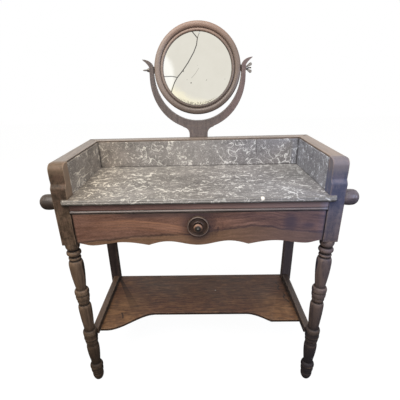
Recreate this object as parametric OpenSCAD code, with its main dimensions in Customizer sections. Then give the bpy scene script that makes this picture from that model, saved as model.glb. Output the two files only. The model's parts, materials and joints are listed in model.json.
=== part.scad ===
// Washstand with a marble top, marble splashes, one drawer, a low shelf, a towel
// bar on each side and a round mirror that tilts in a yoke behind the gallery.
// Millimetres. X runs to the right, Y to the back, Z up from the floor. Every
// module measures Y from the front faces of the front posts, and in_place()
// then centres the whole object on the origin.

/* [Stand] */
// Width over the front posts
stand_w = 900; // [880:10:940]
// Depth from the front posts' faces to the rear legs' back faces
stand_d = 426; // [416:2:440]
// Height of the marble top
top_z = 800; // [790:5:830]
// Height of the marble splashes above the top
splash_h = 102; // [95:1:120]
// Side of the square front posts
post_w = 48; // [46:1:52]
// Height at which the square posts turn into the round legs
block_z = 639; // [630:1:642]
// Width of the plain rear legs
rear_leg_w = 42; // [38:1:46]
// Depth of the plain rear legs
rear_leg_d = 32; // [30:1:36]
// Thickness of the side boards
side_t = 16; // [14:1:18]
// Thickness of the back board
back_t = 14; // [12:1:16]

/* [Marble] */
// Thickness of the slab and the splashes
marble_t = 18; // [16:1:20]
// How far the slab's nosing stands in front of the posts
nosing = 11; // [9:1:14]
// Length of the nosing's ears across the posts
ear = 21.5; // [15:0.5:30]

/* [Gallery cap] */
// Thickness of the wooden cap over the splashes
cap_t = 7; // [5:1:9]
// Width of the cap
cap_w = 43; // [40:1:46]

/* [Drawer] */
// Thickness of the drawer front
front_t = 20; // [18:1:22]
// Height of the drawer front's top edge
front_top_z = 750; // [748:0.5:750]
// Thickness of the drawer sides
drawer_side_t = 11; // [10:1:12]
// Length of the drawer from its back to the posts' faces
drawer_end_y = 350; // [300:5:360]
// Height of the knob's axis
knob_z = 703; // [695:1:710]
// Radius of the turned rosette behind the knob
rosette_r = 35.8; // [32:0.1:38]
// Radius of the knob
knob_r = 14; // [12:0.5:16]

/* [Shelf] */
// Height of the stretchers' top edge
stretcher_z = 249; // [248:0.5:249]
// Width of the stretchers
stretcher_w = 24; // [22:1:26]
// Thickness of the shelf
shelf_t = 14; // [12:1:16]
// How far the shelf's front edge lies behind the posts' faces at the middle
shelf_setback = 150; // [120:5:180]
// Front edge of the broken-off right corner of the shelf
shelf_break_y = 103; // [80:1:120]

/* [Towel bars] */
// Radius of the round bars
bar_r = 9; // [8:0.5:11]
// Radius of the ball knobs that hold them
ball_r = 25.3; // [24:0.1:26]
// Height of the bars
bar_z = 785; // [775:1:800]

/* [Mirror] */
// Outer radius of the turned frame
frame_r = 166; // [160:1:170]
// Radius of the glass that shows
sight_r = 131; // [125:1:134]
// Thickness of the frame
frame_t = 22; // [20:1:24]
// Height of the pivots
pivot_z = 1165; // [1155:1:1180]
// Lean of the mirror, its top to the back
tilt = 9.3; // [0:0.1:15]
// Middle of the mirror and its yoke, right of the stand's middle
mirror_x = 4; // [0:1:6]
// Thickness of the yoke
yoke_t = 22; // [20:1:24]
// Radius of the pivot rods
rod_r = 3; // [3:0.5:4]

/* [Hidden] */
$fn = 64;

LEFT = -1;
RIGHT = 1;
walnut = "#5b4334";
dark_walnut = "#47352b";
worn_walnut = "#8d7560";
plain_wood = "#a58a66";
marble = "#8b8983";
iron = "#77736c";

// Clearances: between glued or screwed pieces, and between moving ones
fit = 0.05;
gap = 0.3;

// Stand
half_w = stand_w / 2;
post_in = half_w - post_w;
leg_x = half_w - post_w / 2;
leg_y = post_w / 2;
rear_y = stand_d - rear_leg_d;
rear_out = half_w - 12;
rear_in = rear_out - rear_leg_w;
gallery_z = top_z + splash_h;
cap_z = gallery_z + cap_t;
board_z = 645;
back_rail_h = 32;

// Joinery: tongues on the boards, tenons on the rails
tongue_t = 6;
tongue_l = 8;
tongue_z = board_z + 10;
back_tongue_y = rear_y + 4;
back_tenon_l = 15;
rail_tenon_l = 18;

// Marble
slab_z = top_z - marble_t;
splash_out = rear_out - side_t;
splash_in = splash_out - marble_t;
splash_y = rear_y - marble_t;
ear_x = post_in + ear;
splash_bed = 1;

// Front rail and the bead under it
rail_h = 21;
rail_d = 40;
rail_y = 1;
rail_z = slab_z - rail_h;
bead_h = 9.5;
bead_d = 13;
bead_y = -1;

// Drawer
face_y = 2;
front_half = post_in - 2.5;
side_in = front_half - drawer_side_t;
runner_z = 664;
side_z = runner_z + gap;
side_top_z = 742;
panel_z = 672;
panel_t = 6;
groove = 5;
drawer_back_t = 10;
drawer_back_y = drawer_end_y - 2;
tail_depth = 12;
tail_count = 3;
spigot_r = 7;
spigot_l = 10;
bolt_r = 2.4;
knob_reach = 29;

// Plain wood inside: bearers under the slab, runners, guides and stops
bearer_in = post_in - 26;
bearer_h = 34;
back_bearer_d = 18;
back_bearer_h = 20;
runner_t = 12;
guide_h = 20;
stop_w = 16;
stop_t = 12;
stop_h = 18;

// Shelf and stretchers
stretcher_x = leg_x - 15.3;
stretcher_h = 28;
stretcher_in = stretcher_x - stretcher_w / 2;
stretcher_low = stretcher_z - stretcher_h;
shelf_z = stretcher_z - 20.5;
rebate = 8;
band_r = 26;
tenon_w = 12;
tenon_h = 18;
tenon_z = stretcher_low + 5;
nail_r = 1.2;
nail_l = 28;
nail_head_r = 2.6;
nail_ys = [130, 235, 340];

// Towel bars
dowel_r = 7;
dowel_l = 18;
ball_l = 50;
bar_x = half_w + ball_l / 2;
rear_neck = half_w - rear_out;
bar_socket = 13;

// Mirror and yoke
pivot_y = stand_d + yoke_t / 2;
arm_in = frame_r + 2.8;
arm_out = arm_in + 16.2;
rod_end = arm_out + 21.5;
rod_hole = rod_r + 0.06;
horn_x = arm_out + 24;
horn_z = 36;
stem_half = 37.5;
stem_z = 690;
flare_r = 27;
flare_z = gallery_z + 20;
packing_half = 60;
packing_h = 50;
screw_r = 2.2;
screw_head_r = 4.6;
screw_dx = 20;
rebate_r = sight_r + 7;
glass_t = 3;
backboard_t = 4.8;
lip_back = 2;
washer_r = 12;
washer_t = 2.2;
rod_sunk = 21;
pin_count = 8;
pin_r = 0.8;
pin_l = 15;

// The object's depth runs from the knob's bolt to the back of the tilted frame
front_reach = face_y - knob_reach;
back_reach = pivot_y + frame_r * sin(tilt) + frame_t / 2 * cos(tilt);
middle_y = (front_reach + back_reach) / 2;

// ---------------------------------------------------------------- helpers

module in_place() translate([0, -middle_y, 0]) children();

// What is drawn on the right lands on the given side
module hand(side) mirror([side == LEFT ? 1 : 0, 0, 0]) children();

module box(low, high) translate(low) cube(high - low);

// A round solid along +X or +Y whose own axis was Z
module along_x() rotate([0, 90, 0]) children();
module along_back() rotate([-90, 0, 0]) children();
module along_front() rotate([90, 0, 0]) children();

function lerp(a, b, t) = a + (b - a) * t;

// Half cosine that eases from a to b
function ease(a, b, t) = lerp(a, b, (1 - cos(180 * t)) / 2);

// Turned bead between two heights: [radius, height] points that swell out
function bead(z0, z1, r0, r1, swell, steps = 7) = [
    for (i = [0:steps]) let (a = 180 * i / steps, t = (1 - cos(a)) / 2)
        [lerp(r0, r1, t) + swell * sin(a), lerp(z0, z1, t)]
];

// Turned vase: it widens from a neck, and a short shoulder closes it
function vase(z_neck, r_neck, z_wide, r_wide, z_top, r_top) = concat(
    [for (i = [0:9]) [lerp(r_neck, r_wide, sin(10 * i)), lerp(z_neck, z_wide, i / 9)]],
    [for (a = [18:18:90]) [lerp(r_top, r_wide, cos(a)), lerp(z_wide, z_top, sin(a))]]
);

// Quarter ellipse in [radius, height] points from one radius to another
function quarter(r0, r1, z0, z1) = [
    for (a = [0:15:90]) [lerp(r1, r0, cos(a)), lerp(z0, z1, sin(a))]
];

// ---------------------------------------------------------------- front legs

// The turning, from the ball foot to the cup under the square block
turning = concat(
    bead(0, 40, 9, 17, 7.5),
    [[19, 41.5]],
    bead(42, 66, 21, 22.5, 2),
    [[21.8, 67]],
    bead(68, 90, 22.5, 17, 5),
    vase(94, 16.8, 173, 23.6, 187, 20.3),
    bead(188, 198, 20.3, 20.3, 1.5),
    bead(200, 217, 21.8, 22.5, 1.9),
    [[23, 219], [band_r, 220], [band_r, 250]],
    quarter(band_r, 19.5, 250.5, 262),
    vase(267, 18.5, 368, 23.5, 383, 18),
    [[17.1, 384], [17.1, 389]],
    bead(390, 404, 18, 20, 2.6),
    bead(405, 427, 20.5, 22, 3.1),
    [[21.4, 428]],
    bead(429, 451, 22, 18, 4.6),
    vase(454, 17.6, 550, 25, 571, 19.4),
    [[18, 573], [18, 575.5]],
    bead(576, 585, 18.6, 18.6, 2.6),
    [[16.8, 587], [16.8, 591]],
    bead(592, 610, 17.6, 17.2, 7.2),
    [[16.4, 612], [16.4, 615], [20.4, 616.5]],
    [for (t = [0.25:0.25:1]) [20.4 + 3.5 * sin(90 * t), lerp(616.5, 627, t)]],
    [[23.9, block_z]]
);

// Side view of the post above the turning, as [depth, height] points: a straight
// block, a shoulder that slopes back and a top that rolls over to the gallery
shoulder_z = top_z + 33;
roll_r = 22;
roll_y = 9;
post_side = concat(
    [[post_w, block_z], [0, block_z], [0, shoulder_z]],
    [for (t = [0.2:0.2:1]) [ease(0, 9.5, t), shoulder_z + 17 * t]],
    [[8.3, shoulder_z + 35]],
    [for (a = [180:-10:90]) [roll_y + roll_r + roll_r * cos(a), cap_z - roll_r + roll_r * sin(a)]],
    [[post_w, cap_z]]
);

module turned_leg() rotate_extrude() polygon(concat([[0, 0]], turning, [[0, block_z]]));

module post_block() translate([post_in, 0, 0]) rotate([90, 0, 90]) linear_extrude(post_w)
    polygon(post_side);

module front_leg(side) color(dark_walnut) in_place() hand(side) difference() {
    union() {
        translate([leg_x, leg_y, 0]) turned_leg();
        post_block();
    }
    rail_tenon(fit);
    side_board_tongues(fit);
    stretcher_tenons(fit);
    translate([half_w, leg_y, bar_z]) dowel(fit);
}

// ---------------------------------------------------------------- rear legs

module rear_leg(side) color(dark_walnut) in_place() hand(side) difference() {
    box([rear_in, rear_y, 0], [rear_out, stand_d, gallery_z]);
    side_board_tongues(fit);
    stretcher_tenons(fit);
    back_board_tongue(fit);
    back_rail_tenon(fit);
    translate([rear_out, stand_d - rear_leg_d / 2, bar_z]) dowel(fit);
}

// ---------------------------------------------------------------- case

module side_board_tongues(extra = 0) {
    x = (splash_out + rear_out) / 2;
    box([x - tongue_t / 2 - extra, post_w - tongue_l - extra, tongue_z - extra],
        [x + tongue_t / 2 + extra, rear_y + tongue_l + extra, gallery_z - 12 + extra]);
}

module side_board(side) color(dark_walnut) in_place() hand(side) {
    box([splash_out, post_w, board_z], [rear_out, rear_y, gallery_z]);
    side_board_tongues();
}

module back_board_tongue(extra = 0)
    box([rear_in - 1, back_tongue_y - extra, tongue_z - extra],
        [rear_in + tongue_l + extra, back_tongue_y + tongue_t + extra, gallery_z - back_rail_h - 10 + extra]);

module back_board() color(plain_wood) in_place() difference() {
    union() {
        box([-rear_in, rear_y, board_z], [rear_in, rear_y + back_t, gallery_z - back_rail_h]);
        for (side = [LEFT, RIGHT]) hand(side) back_board_tongue();
    }
    yoke_screw_set(fit);
}

module back_rail_tenon(extra = 0)
    box([rear_in - 1, rear_y + 9 - extra, gallery_z - 26 - extra],
        [rear_in + back_tenon_l + extra, rear_y + 23 + extra, gallery_z - 6 + extra]);

module gallery_back_rail() color(dark_walnut) in_place() difference() {
    union() {
        box([-rear_in, rear_y, gallery_z - back_rail_h], [rear_in, stand_d, gallery_z]);
        for (side = [LEFT, RIGHT]) hand(side) back_rail_tenon();
    }
    yoke_screw_set(fit);
}

// Cap section: [distance from the outer edge, height], its inner arris rounded
cap_arris = 3;
cap_section = concat(
    [[0, 0], [cap_w, 0]],
    [for (a = [0:15:90]) [cap_w - cap_arris + cap_arris * cos(a), cap_t - cap_arris + cap_arris * sin(a)]],
    [[0, cap_t]]
);

module gallery_cap_side(side) color(worn_walnut) in_place() hand(side) intersection() {
    translate([half_w, stand_d, gallery_z]) rotate([90, 0, 0]) mirror([1, 0, 0])
        linear_extrude(stand_d - post_w) polygon(cap_section);
    translate([0, 0, gallery_z]) linear_extrude(cap_t)
        polygon([[half_w, post_w], [half_w, stand_d], [half_w - cap_w, stand_d - cap_w],
                 [half_w - cap_w, post_w]]);
}

module gallery_cap_back() color(worn_walnut) in_place() intersection() {
    translate([-half_w, stand_d, gallery_z]) rotate([90, 0, 90]) mirror([1, 0, 0])
        linear_extrude(stand_w) polygon(cap_section);
    translate([0, 0, gallery_z]) linear_extrude(cap_t)
        polygon([[-half_w, stand_d], [half_w, stand_d], [half_w - cap_w, stand_d - cap_w],
                 [cap_w - half_w, stand_d - cap_w]]);
}

module rail_tenon(extra = 0)
    box([post_in - 1, 12 - extra, rail_z + 4 - extra],
        [post_in + rail_tenon_l + extra, 32 + extra, rail_z + 17 + extra]);

module front_rail() color(walnut) in_place() {
    box([-post_in, rail_y, rail_z], [post_in, rail_y + rail_d, slab_z]);
    for (side = [LEFT, RIGHT]) hand(side) rail_tenon();
}

// Applied bead: a half-round face in front of a flat fillet
module bead_moulding() color(dark_walnut) in_place() {
    r = bead_h / 2;
    translate([-post_in, bead_y + r, rail_z - r]) along_x() cylinder(r = r, h = 2 * post_in);
    box([-post_in, bead_y + r, rail_z - bead_h], [post_in, bead_y + bead_d, rail_z]);
}

module top_bearer(side) color(plain_wood) in_place() hand(side)
    box([bearer_in, post_w, slab_z - bearer_h], [splash_out, rear_y, slab_z]);

module back_bearer() color(plain_wood) in_place()
    box([-bearer_in, rear_y - back_bearer_d, slab_z - back_bearer_h], [bearer_in, rear_y, slab_z]);

// ---------------------------------------------------------------- marble

// The nosing's section: a flat edge with its arrises rounded over
nose_r = 9;
arris_r = 6;
nose_section = concat(
    [[0, 0]],
    [for (a = [-90:15:0]) [nose_r - arris_r + arris_r * cos(a), arris_r + arris_r * sin(a)]],
    [for (a = [0:15:90]) [nose_r - arris_r + arris_r * cos(a), marble_t - arris_r + arris_r * sin(a)]],
    [[0, marble_t]]
);

module marble_nosing() {
    nose_y = nose_r - nosing;
    ear_in = ear_x - nose_r;
    translate([-ear_in, nose_y, slab_z]) rotate([90, 0, 90]) mirror([1, 0, 0])
        linear_extrude(2 * ear_in) polygon(nose_section);
    for (side = [LEFT, RIGHT]) hand(side) {
        translate([ear_in, nose_y, slab_z]) rotate([0, 0, -90])
            rotate_extrude(angle = 90) polygon(nose_section);
        translate([ear_in, 0, slab_z]) rotate([90, 0, 0])
            linear_extrude(-nose_y) polygon(nose_section);
    }
    box([-ear_in, nose_y, slab_z], [ear_in, 0, top_z]);
}

// The splashes stand in a shallow bed along three edges of the slab
module marble_top() color(marble) in_place() difference() {
    union() {
        marble_nosing();
        box([-post_in, 0, slab_z], [post_in, post_w, top_z]);
        box([-splash_out, post_w, slab_z], [splash_out, rear_y - 0.5, top_z]);
    }
    for (side = [LEFT, RIGHT]) hand(side)
        box([splash_in - fit, post_w - 1, top_z - splash_bed], [splash_out + 1, rear_y, top_z + 1]);
    box([-splash_in, splash_y - fit, top_z - splash_bed], [splash_in, rear_y, top_z + 1]);
}

module marble_splash_side(side) color(marble) in_place() hand(side)
    box([splash_in, post_w, top_z - splash_bed], [splash_out, splash_y, gallery_z]);

module marble_splash_back() color(marble) in_place()
    box([-splash_out, splash_y, top_z - splash_bed], [splash_out, rear_y, gallery_z]);

// ---------------------------------------------------------------- drawer ways

module drawer_runner(side) color(plain_wood) in_place() hand(side) {
    box([bearer_in, post_w, runner_z - runner_t], [splash_out, rear_y, runner_z]);
    box([bearer_in, face_y + front_t + 4, runner_z - runner_t], [post_in, post_w, runner_z]);
}

module drawer_guide(side) color(plain_wood) in_place() hand(side)
    box([front_half + 2, post_w, runner_z], [splash_out, rear_y, runner_z + guide_h]);

module drawer_stops() color(plain_wood) in_place() for (side = [LEFT, RIGHT]) hand(side)
    box([front_half - stop_w, drawer_end_y + gap, runner_z],
        [front_half, drawer_end_y + stop_t, runner_z + stop_h]);

// ---------------------------------------------------------------- drawer

// Lower edge of the drawer front: a middle lobe, a cusp on each side of it and
// a long wave out to each end, drawn for a front 399.5 mm wide on each side
scallop_half = 399.5;
lobe_z = -4.7;
crest_z = 9.7;
cusp_z = -3.2;
wave_z = 8.5;
trough_z = -2.3;
end_z = 7;
function scallop(x) = let (a = abs(x) * scallop_half / front_half)
    a < 100 ? ease(lobe_z, crest_z, a / 100)
    : a < 163 ? lerp(cusp_z, crest_z, cos(90 * (a - 100) / 63))
    : a < 250 ? lerp(cusp_z, wave_z, sin(90 * (a - 163) / 87))
    : a < 349 ? ease(wave_z, trough_z, (a - 250) / 99)
    : ease(trough_z, end_z, min(1, (a - 349) / 50.5));

// Places along half the front at which its lower edge has a point
scallop_steps = [each [0:10:160], 163, each [170:10:340], 349, each [360:10:390], scallop_half];
front_steps = [
    for (i = [len(scallop_steps) - 1:-1:1]) -scallop_steps[i] * front_half / scallop_half,
    for (a = scallop_steps) a * front_half / scallop_half
];

// Lapped dovetails at the front end of a drawer side
tail_pitch = (side_top_z - side_z) / tail_count;
module tails(extra = 0) {
    y_root = face_y + front_t;
    y_tip = y_root - tail_depth;
    for (i = [0:tail_count - 1]) {
        z = side_z + tail_pitch * (i + 0.5);
        translate([side_in - extra, 0, 0]) rotate([90, 0, 90]) linear_extrude(drawer_side_t + 2 * extra)
            polygon([[y_root + 0.5, z - 7 - extra], [y_tip - extra, z - 9.5 - extra],
                     [y_tip - extra, z + 9.5 + extra], [y_root + 0.5, z + 7 + extra]]);
    }
}

module drawer_panel(extra = 0)
    box([-side_in - groove - extra, face_y + front_t - groove - extra, panel_z - extra],
        [side_in + groove + extra, drawer_end_y + extra, panel_z + panel_t + extra]);

module drawer_back_board(extra = 0)
    box([-side_in - 4 - extra, drawer_back_y - drawer_back_t - extra, panel_z + panel_t],
        [side_in + 4 + extra, drawer_back_y + extra, side_top_z - 4]);

module drawer_front() color(walnut) in_place() difference() {
    translate([0, face_y + front_t, block_z]) rotate([90, 0, 0]) linear_extrude(front_t)
        polygon(concat([for (x = front_steps) [x, scallop(x)]],
                       [[front_half, front_top_z - block_z], [-front_half, front_top_z - block_z]]));
    for (side = [LEFT, RIGHT]) hand(side) tails(fit);
    drawer_panel(fit);
    translate([0, face_y - 1, knob_z]) along_back() cylinder(r = spigot_r + fit, h = spigot_l + 2);
    translate([0, face_y, knob_z]) along_back() cylinder(r = bolt_r + fit, h = front_t + 1);
}

module drawer_side(side) color(plain_wood) in_place() hand(side) difference() {
    union() {
        box([side_in, face_y + front_t, side_z], [front_half, drawer_end_y, side_top_z]);
        tails();
    }
    drawer_panel(fit);
    box([side_in - 1, drawer_back_y - drawer_back_t - fit, panel_z],
        [side_in + 4 + fit, drawer_back_y + fit, side_top_z + 1]);
}

module drawer_back() color(plain_wood) in_place() drawer_back_board();

module drawer_bottom() color(plain_wood) in_place() drawer_panel();

// Rosette section: a rolled rim, a dished field and a small inner bead
module knob_rosette() color(dark_walnut) in_place() translate([0, face_y, knob_z]) along_front()
    rotate_extrude() polygon(concat(
        [[spigot_r + fit, 0], [rosette_r, 0], [rosette_r, 2.5]],
        [for (a = [0:20:180]) [rosette_r - 3.6 + 3 * cos(a), 3.5 + 4.5 * sin(a)]],
        [[27, 2.6], [19, 3.4]],
        [for (a = [0:30:180]) [15.2 + 2.2 * cos(a), 3.6 + 2.2 * sin(a)]],
        [[12.5, 3], [spigot_r + fit, 3]]
    ));

// Knob section, from the spigot in the drawer front to the dished face
module drawer_knob() color(walnut) in_place() translate([0, face_y, knob_z]) along_front()
    rotate_extrude() polygon(concat(
        [[bolt_r + fit, -spigot_l], [spigot_r, -spigot_l], [spigot_r, 3.05], [9.5, 3.05], [9.5, 5]],
        [[6.4, 7], [6.2, 8.5]],
        bead(9, 21.5, 7, 10.5, knob_r - 8.8),
        [[10.2, 22.6], [8.8, 22.2], [6, 23.2], [4.6, 24], [bolt_r + fit, 24]]
    ));

module knob_bolt() color(iron) in_place() translate([0, face_y, knob_z]) along_front() {
    translate([0, 0, -26]) cylinder(r = bolt_r, h = 51);
    rotate_extrude() polygon(concat([[0, 24], [4.2, 24], [4.2, 25.5]],
                                    quarter(4.2, 0, 25.5, knob_reach)));
}

module knob_nut() color(iron) in_place() translate([0, face_y + front_t, knob_z]) along_back()
    difference() {
        cylinder(r = 5.2, h = 4, $fn = 6);
        translate([0, 0, -1]) cylinder(r = bolt_r + fit, h = 6);
    }

// ---------------------------------------------------------------- stretchers and shelf

module stretcher_tenons(extra = 0)
    box([stretcher_x - tenon_w / 2 - extra, leg_y - 4 - extra, tenon_z - extra],
        [stretcher_x + tenon_w / 2 + extra, rear_y + 15 + extra, tenon_z + tenon_h + extra]);

module stretcher(side) color(walnut) in_place() hand(side) difference() {
    union() {
        difference() {
            box([stretcher_in, leg_y + 14, stretcher_low],
                [stretcher_in + stretcher_w, rear_y, stretcher_z]);
            translate([leg_x, leg_y, stretcher_low - 1]) cylinder(r = band_r, h = stretcher_h + 2);
        }
        stretcher_tenons();
    }
    box([stretcher_in - 1, leg_y, stretcher_low - 1], [stretcher_in + rebate, rear_y, shelf_z]);
    shelf_nail_set(fit);
}

// Front edge of the shelf: straight in the middle, with a long S to each end
shelf_front_y = 60;
shelf_flat = 190;
shelf_bend = 188;
function shelf_edge(x) = let (
    t = min(1, max(0, (abs(x) - shelf_flat) / shelf_bend)),
    y = ease(shelf_setback, shelf_front_y, t)
) x > 0 ? max(y, shelf_break_y) : y;

module shelf() color(walnut) in_place() difference() {
    x_end = stretcher_in + rebate - 0.2;
    translate([0, 0, shelf_z - shelf_t]) linear_extrude(shelf_t) polygon(concat(
        [for (x = [-x_end, each [-390:12:390], x_end]) [x, shelf_edge(x)]],
        [[x_end, rear_y], [rear_in, rear_y], [rear_in, stand_d - 3],
         [-rear_in, stand_d - 3], [-rear_in, rear_y], [-x_end, rear_y]]
    ));
    for (side = [LEFT, RIGHT]) hand(side) shelf_nail_set(fit);
}

// Wire nails driven up through the shelf into one stretcher
module shelf_nail_set(extra = 0) for (y = nail_ys)
    translate([stretcher_in + rebate / 2, y, shelf_z - shelf_t - extra]) {
        cylinder(r = nail_r + extra, h = nail_l + 2 * extra);
        cylinder(r = nail_head_r + extra, h = 1 + 2 * extra);
    }

module shelf_nails() color(iron) in_place() for (side = [LEFT, RIGHT]) hand(side) shelf_nail_set();

// ---------------------------------------------------------------- towel bars

// Dowel that plugs a ball knob into a post whose outer face is at x = 0
module dowel(extra = 0) translate([-dowel_l - extra, 0, 0]) along_x()
    cylinder(r = dowel_r + extra, h = dowel_l + 1);

// Ball knob on a post's outer face: a neck, a belly, a turned line and a dome
module ball_knob(base_r, neck) {
    dowel();
    along_x() rotate_extrude() polygon(concat(
        [[0, 0], [base_r, 0]],
        [for (a = [0:15:90]) [lerp(base_r, ball_r, sin(a)), neck + 22 * a / 90]],
        [[ball_r - 0.2, neck + 27.6], [ball_r - 1.3, neck + 28.5]],
        quarter(ball_r - 0.5, 0, neck + 29.4, neck + ball_l)
    ));
}

module towel_knob_front(side) color(dark_walnut) in_place() hand(side) difference() {
    translate([half_w, leg_y, bar_z]) ball_knob(22.5, 0);
    towel_bar_solid(fit);
}

module towel_knob_rear(side) color(dark_walnut) in_place() hand(side) difference() {
    translate([rear_out, stand_d - rear_leg_d / 2, bar_z]) ball_knob(14, rear_neck);
    towel_bar_solid(fit);
}

module towel_bar_solid(extra = 0) {
    y0 = leg_y + bar_socket;
    y1 = stand_d - rear_leg_d / 2 - bar_socket;
    translate([bar_x, y0 - extra, bar_z]) along_back()
        cylinder(r = bar_r + extra, h = y1 - y0 + 2 * extra);
}

module towel_bar(side) color(walnut) in_place() hand(side) towel_bar_solid();

// ---------------------------------------------------------------- yoke

// Inner and outer edge of an arm, as a radius about the mirror's centre, at an
// angle from straight down
function arm_inner(a) = arm_in + 22.5 * pow(cos(a), 1.5);
function arm_outer(a) = arm_out - 1 + 40 * pow(cos(a), 1.3);

// Right half of the yoke about the mirror's centre, from the foot of the stem,
// up the outer edge, round the horn and down the inner edge
seat = 9;
yoke_half = concat(
    [[stem_half, stem_z - pivot_z]],
    [for (a = [180:-16:100])
        [stem_half + flare_r + flare_r * cos(a), flare_z - pivot_z + flare_r * sin(a)]],
    [for (a = [17:6:83]) arm_outer(a) * [sin(a), -cos(a)]],
    [[arm_out, -seat], [arm_out, seat]],
    [for (t = [0.2:0.2:1]) [lerp(arm_out, horn_x, pow(t, 1.45)), lerp(seat, horn_z, t)]],
    [for (a = [90:-15:0]) [lerp(horn_x, arm_in, cos(a)), lerp(seat - 3, horn_z + 1.5, sin(a))]],
    [for (a = [88:-8:0]) arm_inner(a) * [sin(a), -cos(a)]]
);
yoke_outline = concat(
    yoke_half,
    [for (i = [len(yoke_half) - 1:-1:0]) [-yoke_half[i][0], yoke_half[i][1]]]
);

module mirror_yoke() color(walnut) in_place() difference() {
    translate([mirror_x, stand_d + yoke_t, pivot_z]) rotate([90, 0, 0])
        linear_extrude(yoke_t) polygon(yoke_outline);
    at_pivot() along_x()
        cylinder(r = rod_hole, h = 2 * horn_x, center = true);
    yoke_screw_set(fit);
}

module stem_packing() color(plain_wood) in_place() difference() {
    box([mirror_x - packing_half, rear_y + back_t, stem_z],
        [mirror_x + packing_half, stand_d, stem_z + packing_h]);
    yoke_screw_set(fit);
}

// Countersunk wood screws, driven from behind into the back rail and the packing
module yoke_screw_set(extra = 0)
    for (dx = [-screw_dx, screw_dx], z = [gallery_z - back_rail_h / 2, stem_z + packing_h / 2])
        translate([mirror_x + dx, stand_d + yoke_t + extra, z]) along_front() {
            cylinder(r1 = screw_head_r + extra, r2 = screw_r + extra, h = 3.4);
            cylinder(r = screw_r + extra, h = yoke_t + 24 + 2 * extra);
        }

module yoke_screws() color(iron) in_place() yoke_screw_set();

// ---------------------------------------------------------------- mirror

module at_pivot() translate([mirror_x, pivot_y, pivot_z]) children();

// Turned work about the mirror's own axis, with +Z towards the front
module mirror_face() at_pivot() rotate([-tilt, 0, 0]) along_front() children();

// Frame section: [radius, height to the front]
module mirror_frame() color(walnut) in_place() difference() {
    mirror_face() rotate_extrude($fn = 128) polygon(concat(
        [[frame_r, -frame_t / 2], [frame_r, 4.5]],
        [for (a = [15:15:165]) [frame_r - 11 + 11 * cos(a), 4.5 + 6.5 * sin(a)]],
        [[frame_r - 22, 4.5], [frame_r - 23.5, 3.6]],
        [for (a = [30:30:180]) [sight_r + 5.4 + 5.4 * cos(a), 4.2 + 3.6 * sin(a)]],
        [[sight_r, lip_back], [rebate_r, lip_back], [rebate_r, -frame_t / 2]]
    ));
    for (side = [LEFT, RIGHT]) rod(side, fit);
    backboard_pin_ring(fit);
}

module mirror_glass() color("silver") in_place() mirror_face()
    translate([0, 0, lip_back - glass_t]) cylinder(r = rebate_r - 0.5, h = glass_t, $fn = 128);

module mirror_backboard() color(plain_wood) in_place() mirror_face()
    translate([0, 0, lip_back - glass_t - backboard_t])
        cylinder(r = rebate_r - 0.5, h = backboard_t, $fn = 128);

// Brads driven into the rebate's wall, which hold the backboard and the glass
module backboard_pin_ring(extra = 0) mirror_face() for (i = [0:pin_count - 1])
    rotate([0, 0, 360 * (i + 0.5) / pin_count])
        translate([rebate_r - pin_l / 2, 0, lip_back - glass_t - backboard_t - pin_r]) along_x()
            cylinder(r = pin_r + extra, h = pin_l + extra, $fn = 16);

module backboard_pins() color(iron) in_place() backboard_pin_ring();

// Threaded rod from the frame's rim through the arm, drawn plain
module rod(side, extra = 0) at_pivot() hand(side) translate([frame_r - rod_sunk, 0, 0]) along_x()
    cylinder(r = rod_r + extra, h = rod_end - frame_r + rod_sunk);

module pivot_rod(side) color(iron) in_place() rod(side);

module pivot_washer(side) color("#3a3836") in_place() at_pivot() hand(side)
    translate([frame_r + 0.2, 0, 0]) along_x() difference() {
        cylinder(r = washer_r, h = washer_t);
        translate([0, 0, -1]) cylinder(r = rod_r + fit, h = washer_t + 2);
    }

// Wing nut along +X from its seat: a tapered hub and two lobed wings
lobe = [17.5, 12.5];
lobe_r = 6;
module wing_nut_solid() difference() {
    union() {
        along_x() cylinder(r1 = 7.6, r2 = 5.2, h = 9.5);
        for (flip = [0, 1]) mirror([0, 0, flip]) rotate([90, 0, 0])
            linear_extrude(3.2, center = true) {
                polygon([[1.5, 4], [1.5, 6.6], [13.7, 17.2], [21.3, 7.8], [9, 4]]);
                translate(lobe) circle(r = lobe_r);
            }
    }
    translate([-1, 0, 0]) along_x() cylinder(r = rod_hole, h = 30);
}

// The left nut came to rest with its wings level, the right one upright
module wing_nut(side) color(iron) in_place() at_pivot() hand(side)
    translate([arm_out + gap + 0.1, 0, 0]) rotate([side == LEFT ? 90 : 0, 0, 0]) wing_nut_solid();

// ---------------------------------------------------------------- nodes

front_leg(LEFT);  // front_leg_left
front_leg(RIGHT);  // front_leg_right
rear_leg(LEFT);  // rear_leg_left
rear_leg(RIGHT);  // rear_leg_right
side_board(LEFT);  // side_board_left
side_board(RIGHT);  // side_board_right
back_board();
gallery_back_rail();
gallery_cap_side(LEFT);  // gallery_cap_left
gallery_cap_side(RIGHT);  // gallery_cap_right
gallery_cap_back();
front_rail();
bead_moulding();
marble_top();
marble_splash_side(LEFT);  // marble_splash_left
marble_splash_side(RIGHT);  // marble_splash_right
marble_splash_back();
top_bearer(LEFT);  // top_bearer_left
top_bearer(RIGHT);  // top_bearer_right
back_bearer();
drawer_runner(LEFT);  // drawer_runner_left
drawer_runner(RIGHT);  // drawer_runner_right
drawer_guide(LEFT);  // drawer_guide_left
drawer_guide(RIGHT);  // drawer_guide_right
drawer_stops();
drawer_front();
drawer_side(LEFT);  // drawer_side_left
drawer_side(RIGHT);  // drawer_side_right
drawer_back();
drawer_bottom();
knob_rosette();
drawer_knob();
knob_bolt();
knob_nut();
stretcher(LEFT);  // stretcher_left
stretcher(RIGHT);  // stretcher_right
shelf();
shelf_nails();
towel_knob_front(LEFT);  // towel_knob_front_left
towel_knob_front(RIGHT);  // towel_knob_front_right
towel_knob_rear(LEFT);  // towel_knob_rear_left
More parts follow.
